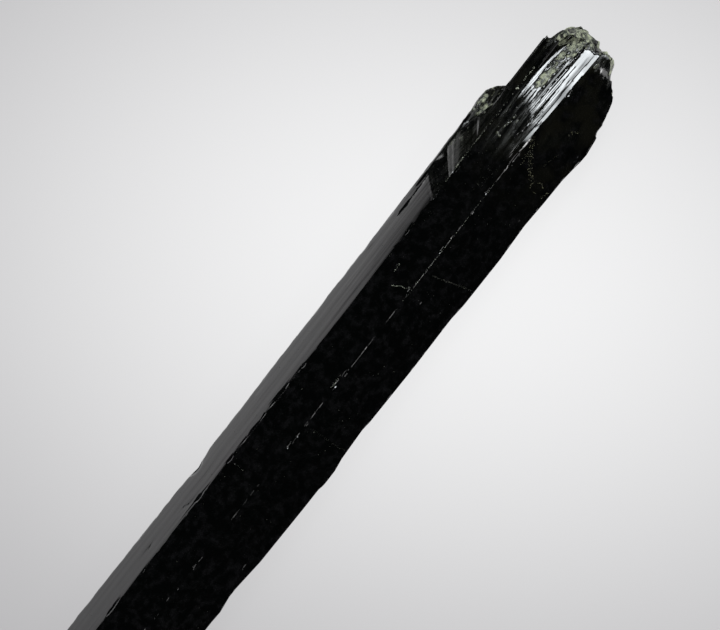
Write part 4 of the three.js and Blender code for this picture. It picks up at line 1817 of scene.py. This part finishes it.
EDGE_CRUMBS: tuple[Trace, ...] = (
    Trace(Strip.TOP, ((35.4, 0.02), (36.0, 0.02), (37.2, 0.03)), 0.07, 16, 0.04),
    Trace(Strip.TOP, ((39.8, 0.02), (41.4, 0.03)), 0.04, 16, 0.034),
    Trace(Strip.TOP, ((33.4, 0.02), (38.5, 0.03), (42.0, 0.02)), 0.06, 4, 0.03),
    Trace(Strip.TOP, ((42.0, 0.05), (45.0, 0.05), (48.0, 0.05), (52.0, 0.1)), 0.14, 4, 0.04),
    Trace(Strip.TOP, ((48.2, 0.0), (48.6, 0.05)), 0.08, 16, 0.07),
    Trace(Strip.TOP, ((49.8, 0.05), (50.9, 0.1), (51.9, 0.12)), 0.1, 8, 0.05),
    Trace(Strip.TOP, ((44.8, 2.42), (45.3, 2.45)), 0.05, 18, 0.06),
    Trace(Strip.RIGHT_SLOPE, ((18.0, 0.02), (24.0, 0.02), (30.0, 0.02)), 0.06, 3, 0.035),
    Trace(Strip.RIGHT_SLOPE, ((30.0, 0.02), (35.0, 0.02), (40.0, 0.02)), 0.06, 4, 0.03),
)


@dataclass(frozen=True)
class Tracery:
    """Grains that follow traces on the skin, by Geometry Nodes.

    Attributes:
        name: The piece's name.
        traces: The traces that they follow.
        finish: Their finish.
        seed: Picks another strewing.
        ANY_TURN: The most that a grain is turned about each axis, radians.
    """

    name: str
    traces: tuple[Trace, ...]
    finish: GrainFinish
    seed: int

    ANY_TURN = 6.3

    def tree(self) -> bpy.types.GeometryNodeTree:
        """Builds the node tree, with its sizes as named inputs."""
        tree, bench = new_group(self.name, "Path", ("Gap", "Spread", "Size", "Turn"))
        given = bench.add("NodeGroupInput").outputs
        curve = bench.add("GeometryNodeMeshToCurve", {0: given["Path"]})
        points = bench.add("GeometryNodeResampleCurve", {
            "Curve": curve.outputs[0], "Length": given["Gap"]}, mode="LENGTH")
        stray = bench.random((-1.0, -1.0, -0.1), (1.0, 1.0, 0.1), given["Seed"])
        level = bench.add("ShaderNodeVectorRotate", {
            "Vector": stray, "Angle": given["Turn"]}, rotation_type="X_AXIS")
        offset = bench.scaled(level.outputs[0], given["Spread"])
        moved = bench.add("GeometryNodeSetPosition", {
            "Geometry": points.outputs[0], "Offset": offset})
        turn = bench.random((0.0, 0.0, 0.0), (self.ANY_TURN,) * 3, given["Seed"])
        size = bench.math("MULTIPLY", bench.random(0.4, 1.6, given["Seed"]), given["Size"])
        grain = bench.add("GeometryNodeMeshIcoSphere", {"Radius": 1.0, "Subdivisions": 1})
        sizes = bench.add("ShaderNodeCombineXYZ", {
            0: bench.math("MULTIPLY", size, 1.5), 1: size, 2: bench.math("MULTIPLY", size, 0.8)})
        bench.strew(
            moved.outputs[0], grain.outputs[0], turn, sizes.outputs[0], given["Finish"])
        return tree

    def build(self, crystal: Crystal) -> bpy.types.Object:
        """Lays the grains along every trace.

        Args:
            crystal: The crystal, whose skin carries the traces.

        Returns:
            The grains, joined as one piece.
        """
        tree = self.tree()
        finish = self.finish.material()
        points: list[Array] = []
        faces: list[Array] = []
        for number, trace in enumerate(self.traces):
            places = [crystal.skin.locate(trace.strip, x, across) for x, across in trace.path]
            line = bpy.data.meshes.new(self.name + "_line")
            ends = [(k, k + 1) for k in range(len(places) - 1)]
            line.from_pydata([tuple((p + crystal.offset) * MM) for p in places], ends, [])
            host = new_piece(self.name + "_host", line)
            values = {
                "Gap": MM / trace.grains, "Spread": trace.spread * MM, "Size": trace.size * MM,
                "Seed": self.seed + number, "Finish": finish,
                "Turn": math.radians(crystal.skin.faces.of(trace.strip).turn),
            }
            grains = grown(host, tree, values, f"{self.name}_{number}")
            first = sum(map(len, points))
            points.append(np.array([vertex.co for vertex in grains.data.vertices]))
            faces += [np.array(face.vertices) + first for face in grains.data.polygons]
            bpy.data.objects.remove(grains)
        piece = new_piece(self.name, mesh_of(self.name, np.concatenate(points), faces))
        piece.data.materials.append(finish)
        return piece


# ---------------------------------------------------------------- the studio


@dataclass(frozen=True)
class SoftBox:
    """A rectangular soft light that looks at one point.

    Attributes:
        name: The light's name.
        direction: Where it stands, as a direction from that point.
        distance: How far off it is, m.
        width: Its size across, m.
        height: Its size the other way, m.
        radiance: How bright its face is in the middle.
        aim: The point that it looks at, m.
        fade: How far from its middle its face has gone dark, m; 0 is an even face.
        tint: Its colour.
    """

    name: str
    direction: tuple[float, float, float]
    distance: float
    width: float
    height: float
    radiance: float
    aim: tuple[float, float, float] = (0.0, 0.0, 0.008)
    fade: float = 0.0
    tint: tuple[float, float, float] = (1.0, 1.0, 1.0)

    def build(self) -> None:
        """Adds the light."""
        data = bpy.data.lights.new(self.name, "AREA")
        data.shape = "RECTANGLE"
        data.size = self.width
        data.size_y = self.height
        data.energy = self.radiance * math.pi * self.width * self.height
        data.color = self.tint
        if self.fade:
            data.use_nodes = True
            bench = Bench(data.node_tree)
            place = bench.add("ShaderNodeNewGeometry").outputs["Parametric"]
            off = bench.vector("SUBTRACT", place, (0.5, 0.5, 0.0)).outputs[0]
            apart = bench.vector("MULTIPLY", off, (self.width, self.height, 0.0)).outputs[0]
            distance = bench.vector("LENGTH", apart).outputs["Value"]
            glow = bench.add("ShaderNodeEmission", {
                "Strength": bench.steps(distance, 0.0, self.fade, 1.0, 0.0)})
            bench.add("ShaderNodeOutputLight", {"Surface": glow.outputs[0]})
        light = bpy.data.objects.new(self.name, data)
        light.location = Vector(self.aim) + Vector(self.direction).normalized() * self.distance
        light.rotation_euler = Vector(self.direction).to_track_quat("Z", "Y").to_euler()
        bpy.context.scene.collection.objects.link(light)


@dataclass(frozen=True)
class Studio:
    """A pale floor under a pale dome, soft lights and the camera.

    Attributes:
        floor_radius: How far the floor goes, m.
        mirrored_radii: Where what the gloss mirrors of it begins to fade, and where it ends, m.
        mirrored_middle: The point that they are measured from, m.
        dome_radius: How far off the dome is, m.
        dome_light: How bright the dome is.
        floor_light: How much of its own light the floor gives.
        floor_albedo: How much it returns of what falls on it.
        surroundings: How bright what the gloss mirrors above the floor is.
        camera_distance: From the point that the camera looks at, m.
        lens: The camera's focal length, mm.
        lean: How far the camera leans to the right of straight down, degrees.
        roll: How steeply the crystal rises across the picture, degrees.
        target: The point that the camera looks at, m.
        SIDES: How many sides the floor and the dome have.
    """

    floor_radius: float = 1.6
    mirrored_radii: tuple[float, float] = (0.078, 0.122)
    mirrored_middle: tuple[float, float, float] = (-0.03, 0.0, 0.0)
    dome_radius: float = 1.5
    dome_light: float = 0.7
    floor_light: float = 0.9
    floor_albedo: float = 0.12
    surroundings: float = 0.005
    camera_distance: float = 0.32
    lens: float = 124.9
    lean: float = 10.0
    roll: float = 52.0
    target: tuple[float, float, float] = (0.0137, 0.00174, 0.0102)

    SIDES = 96

    def build(self) -> None:
        """Builds the whole studio."""
        self.build_floor()
        self.build_mirrored_floor()
        self.build_dome()
        self.build_world()
        self.build_camera()
        for light in (
            SoftBox("slope_light", (0.553, 0.168, 0.816), 0.42, 0.26, 0.26, 9.6,
                    aim=(0.053, 0.001, 0.008), fade=0.13, tint=(0.95, 1.0, 1.03)),
            SoftBox("edge_light", (0.0, -0.55, 0.84), 0.45, 0.27, 0.09, 1.2),
            SoftBox("line_light", (0.0, -0.55, 0.84), 0.44, 0.09, 0.06, 6.5,
                    aim=(0.122, 0.0, 0.008), fade=0.04),
        ):
            light.build()
        settings = bpy.context.scene.view_settings
        settings.view_transform = "Standard"
        settings.look = "None"

    def ring_mesh(self, name: str, profile: Sequence[tuple[float, float]], inward: bool
                  ) -> bpy.types.Object:
        """Turns a profile of (radius, height) points about the z axis.

        Args:
            name: The piece's name.
            profile: The profile, from the middle outwards.
            inward: Whether its faces look down and inwards, as a dome's do.

        Returns:
            The turned piece.
        """
        sides = self.SIDES
        angle = np.linspace(0, 2 * np.pi, sides, endpoint=False)
        radius, height = np.array(profile).T
        rings = np.stack([
            radius[:, None] * np.cos(angle), radius[:, None] * np.sin(angle),
            height[:, None] + 0 * angle], -1)
        k = np.arange(sides)
        after = (k + 1) % sides
        faces = []
        for ring in range(len(radius) - 1):
            low, high = ring * sides, (ring + 1) * sides
            for a, b in zip(k, after):
                quad = (low + a, high + a, high + b, low + b)
                faces.append(quad[::-1] if inward else quad)
        piece = new_piece(name, mesh_of(name, rings.reshape(-1, 3), faces))
        piece.data.shade_smooth()
        return piece

    def build_floor(self) -> None:
        """Builds the opal floor, lit from below, with a painted pool of light that darkens towards
        the edges of the view.
        """
        radii = (0.001, 0.04, 0.08, 0.12, 0.4, 0.8, self.floor_radius)
        floor = self.ring_mesh("floor", [(radius, 0.0) for radius in radii], False)
        floor.visible_glossy = False
        material, bench = new_material("pale_floor")
        # tint is the painted pool of light, used for the floor's colour and its glow.
        tint = self.painted_light_pool(bench)
        opal = bench.mix(self.floor_albedo, colour(0.0, 0.0, 0.0), tint)
        shader = bench.add("ShaderNodeBsdfPrincipled", {
            "Base Color": opal, "Roughness": 0.9, "Specular IOR Level": 0.0,
            "Emission Color": tint, "Emission Strength": self.floor_light})
        bench.add("ShaderNodeOutputMaterial", {"Surface": shader.outputs[0]})
        floor.data.materials.append(material)

    def build_mirrored_floor(self) -> None:
        """Builds what the gloss mirrors in place of the floor, glowing in the painted pool of light
        and fading out with distance.
        """
        near, far = self.mirrored_radii
        radii = (0.001, near, far + abs(self.mirrored_middle[0]))
        floor = self.ring_mesh("mirrored_floor", [(radius, -0.0002) for radius in radii], False)
        floor.visible_camera = False
        floor.visible_diffuse = False
        floor.visible_transmission = False
        floor.visible_shadow = False
        material, bench = new_material("mirrored_floor")
        place = bench.add("ShaderNodeTexCoord").outputs["Object"]
        distance = bench.vector("DISTANCE", place, self.mirrored_middle).outputs["Value"]
        strength = bench.steps(distance, near, far, 1.12, 0.0)
        # The glow takes the colour of the painted pool of light.
        glow = bench.add("ShaderNodeEmission", {
            "Color": self.painted_light_pool(bench), "Strength": strength})
        bench.add("ShaderNodeOutputMaterial", {"Surface": glow.outputs[0]})
        floor.data.materials.append(material)

    @staticmethod
    def painted_light_pool(bench: Bench) -> bpy.types.NodeSocket:
        """Adds the floor's painted pool of light: a pale colour that darkens towards the edges of
        the view.
        """
        place = bench.add("ShaderNodeTexCoord").outputs["Object"]
        pool = bench.add("ShaderNodeMapping", {
            "Vector": place, "Location": (0.0264, -0.0011, 0.0), "Rotation": (0.0, 0.0, 2.12),
            "Scale": (0.116, 0.08, 1.0)}, vector_type="TEXTURE")
        distance = bench.vector("LENGTH", pool.outputs[0]).outputs["Value"]
        # Painted pool of light: pale in the middle and darker outwards, then a plain grey far off.
        dim = bench.steps(distance, 0.0, 1.0)
        near = bench.mix(dim, colour(0.9, 0.9, 0.905), colour(0.47, 0.465, 0.475))
        return bench.mix(bench.steps(distance, 1.15, 7.0), near, colour(0.69, 0.69, 0.69))

    def build_dome(self) -> None:
        """Builds the dome that gives the plain soft light, and that the gloss doesn't mirror."""
        turns = np.linspace(0, np.pi / 2, 14)
        profile = [
            (self.dome_radius * math.sin(a) + 0.0005, self.dome_radius * math.cos(a)) for a in turns
        ]
        dome = self.ring_mesh("dome", [*profile, (self.dome_radius, -0.1)], True)
        material, bench = new_material("pale_dome")
        light = bench.add("ShaderNodeEmission", {
            "Color": colour(1.0, 1.0, 1.0), "Strength": self.dome_light})
        bench.add("ShaderNodeOutputMaterial", {"Surface": light.outputs[0]})
        dome.data.materials.append(material)
        dome.visible_glossy = False

    def build_world(self) -> None:
        """Sets the dark surroundings that the polished faces mirror."""
        world = bpy.data.worlds.new("surroundings")
        world.use_nodes = True
        bench = Bench(world.node_tree)
        light = bench.add("ShaderNodeBackground", {
            "Color": colour(0.85, 0.92, 1.0), "Strength": self.surroundings})
        bench.add("ShaderNodeOutputWorld", {"Surface": light.outputs[0]})
        bpy.context.scene.world = world

    def build_camera(self) -> None:
        """Sets the camera over the crystal, looking down on it."""
        lean, roll = math.radians(self.lean), math.radians(self.roll)
        towards = Vector((0, -math.sin(lean), math.cos(lean)))
        across = Vector((0, -math.cos(lean), -math.sin(lean)))
        crystal = Vector((1, 0, 0))
        right = crystal * math.cos(roll) + across * math.sin(roll)
        up = crystal * math.sin(roll) - across * math.cos(roll)
        data = bpy.data.cameras.new("camera")
        data.lens = self.lens
        data.clip_start = 0.01
        camera = bpy.data.objects.new("camera", data)
        turn = Matrix((right, up, towards)).transposed()
        place = Vector(self.target) + towards * self.camera_distance
        camera.matrix_world = Matrix.Translation(place) @ turn.to_4x4()
        bpy.context.scene.collection.objects.link(camera)
        bpy.context.scene.camera = camera


def main() -> None:
    """Builds the studio and the crystal, and reports each piece."""
    logging.basicConfig(level=logging.INFO, format="%(name)s: %(message)s")
    Studio().build()
    crystal = Crystal()
    body = crystal.build()
    pieces = [strewing.build(body.data) for strewing in STREWINGS]
    pieces.append(Tracery("cracks", CRACKS, ETCHED_GRAIN, 11).build(crystal))
    pieces.append(Tracery("faint_cracks", FAINT_CRACKS, DUST_GRAIN, 71).build(crystal))
    pieces.append(Tracery("stain_trail", TRAILS, STAINED_GRAIN, 31).build(crystal))
    pieces.append(Tracery("edge_crumbs", EDGE_CRUMBS, ETCHED_GRAIN, 51).build(crystal))
    for piece in (body, *pieces):
        claim(piece)
    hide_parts(NODE)


if __name__ == "__main__":
    main()
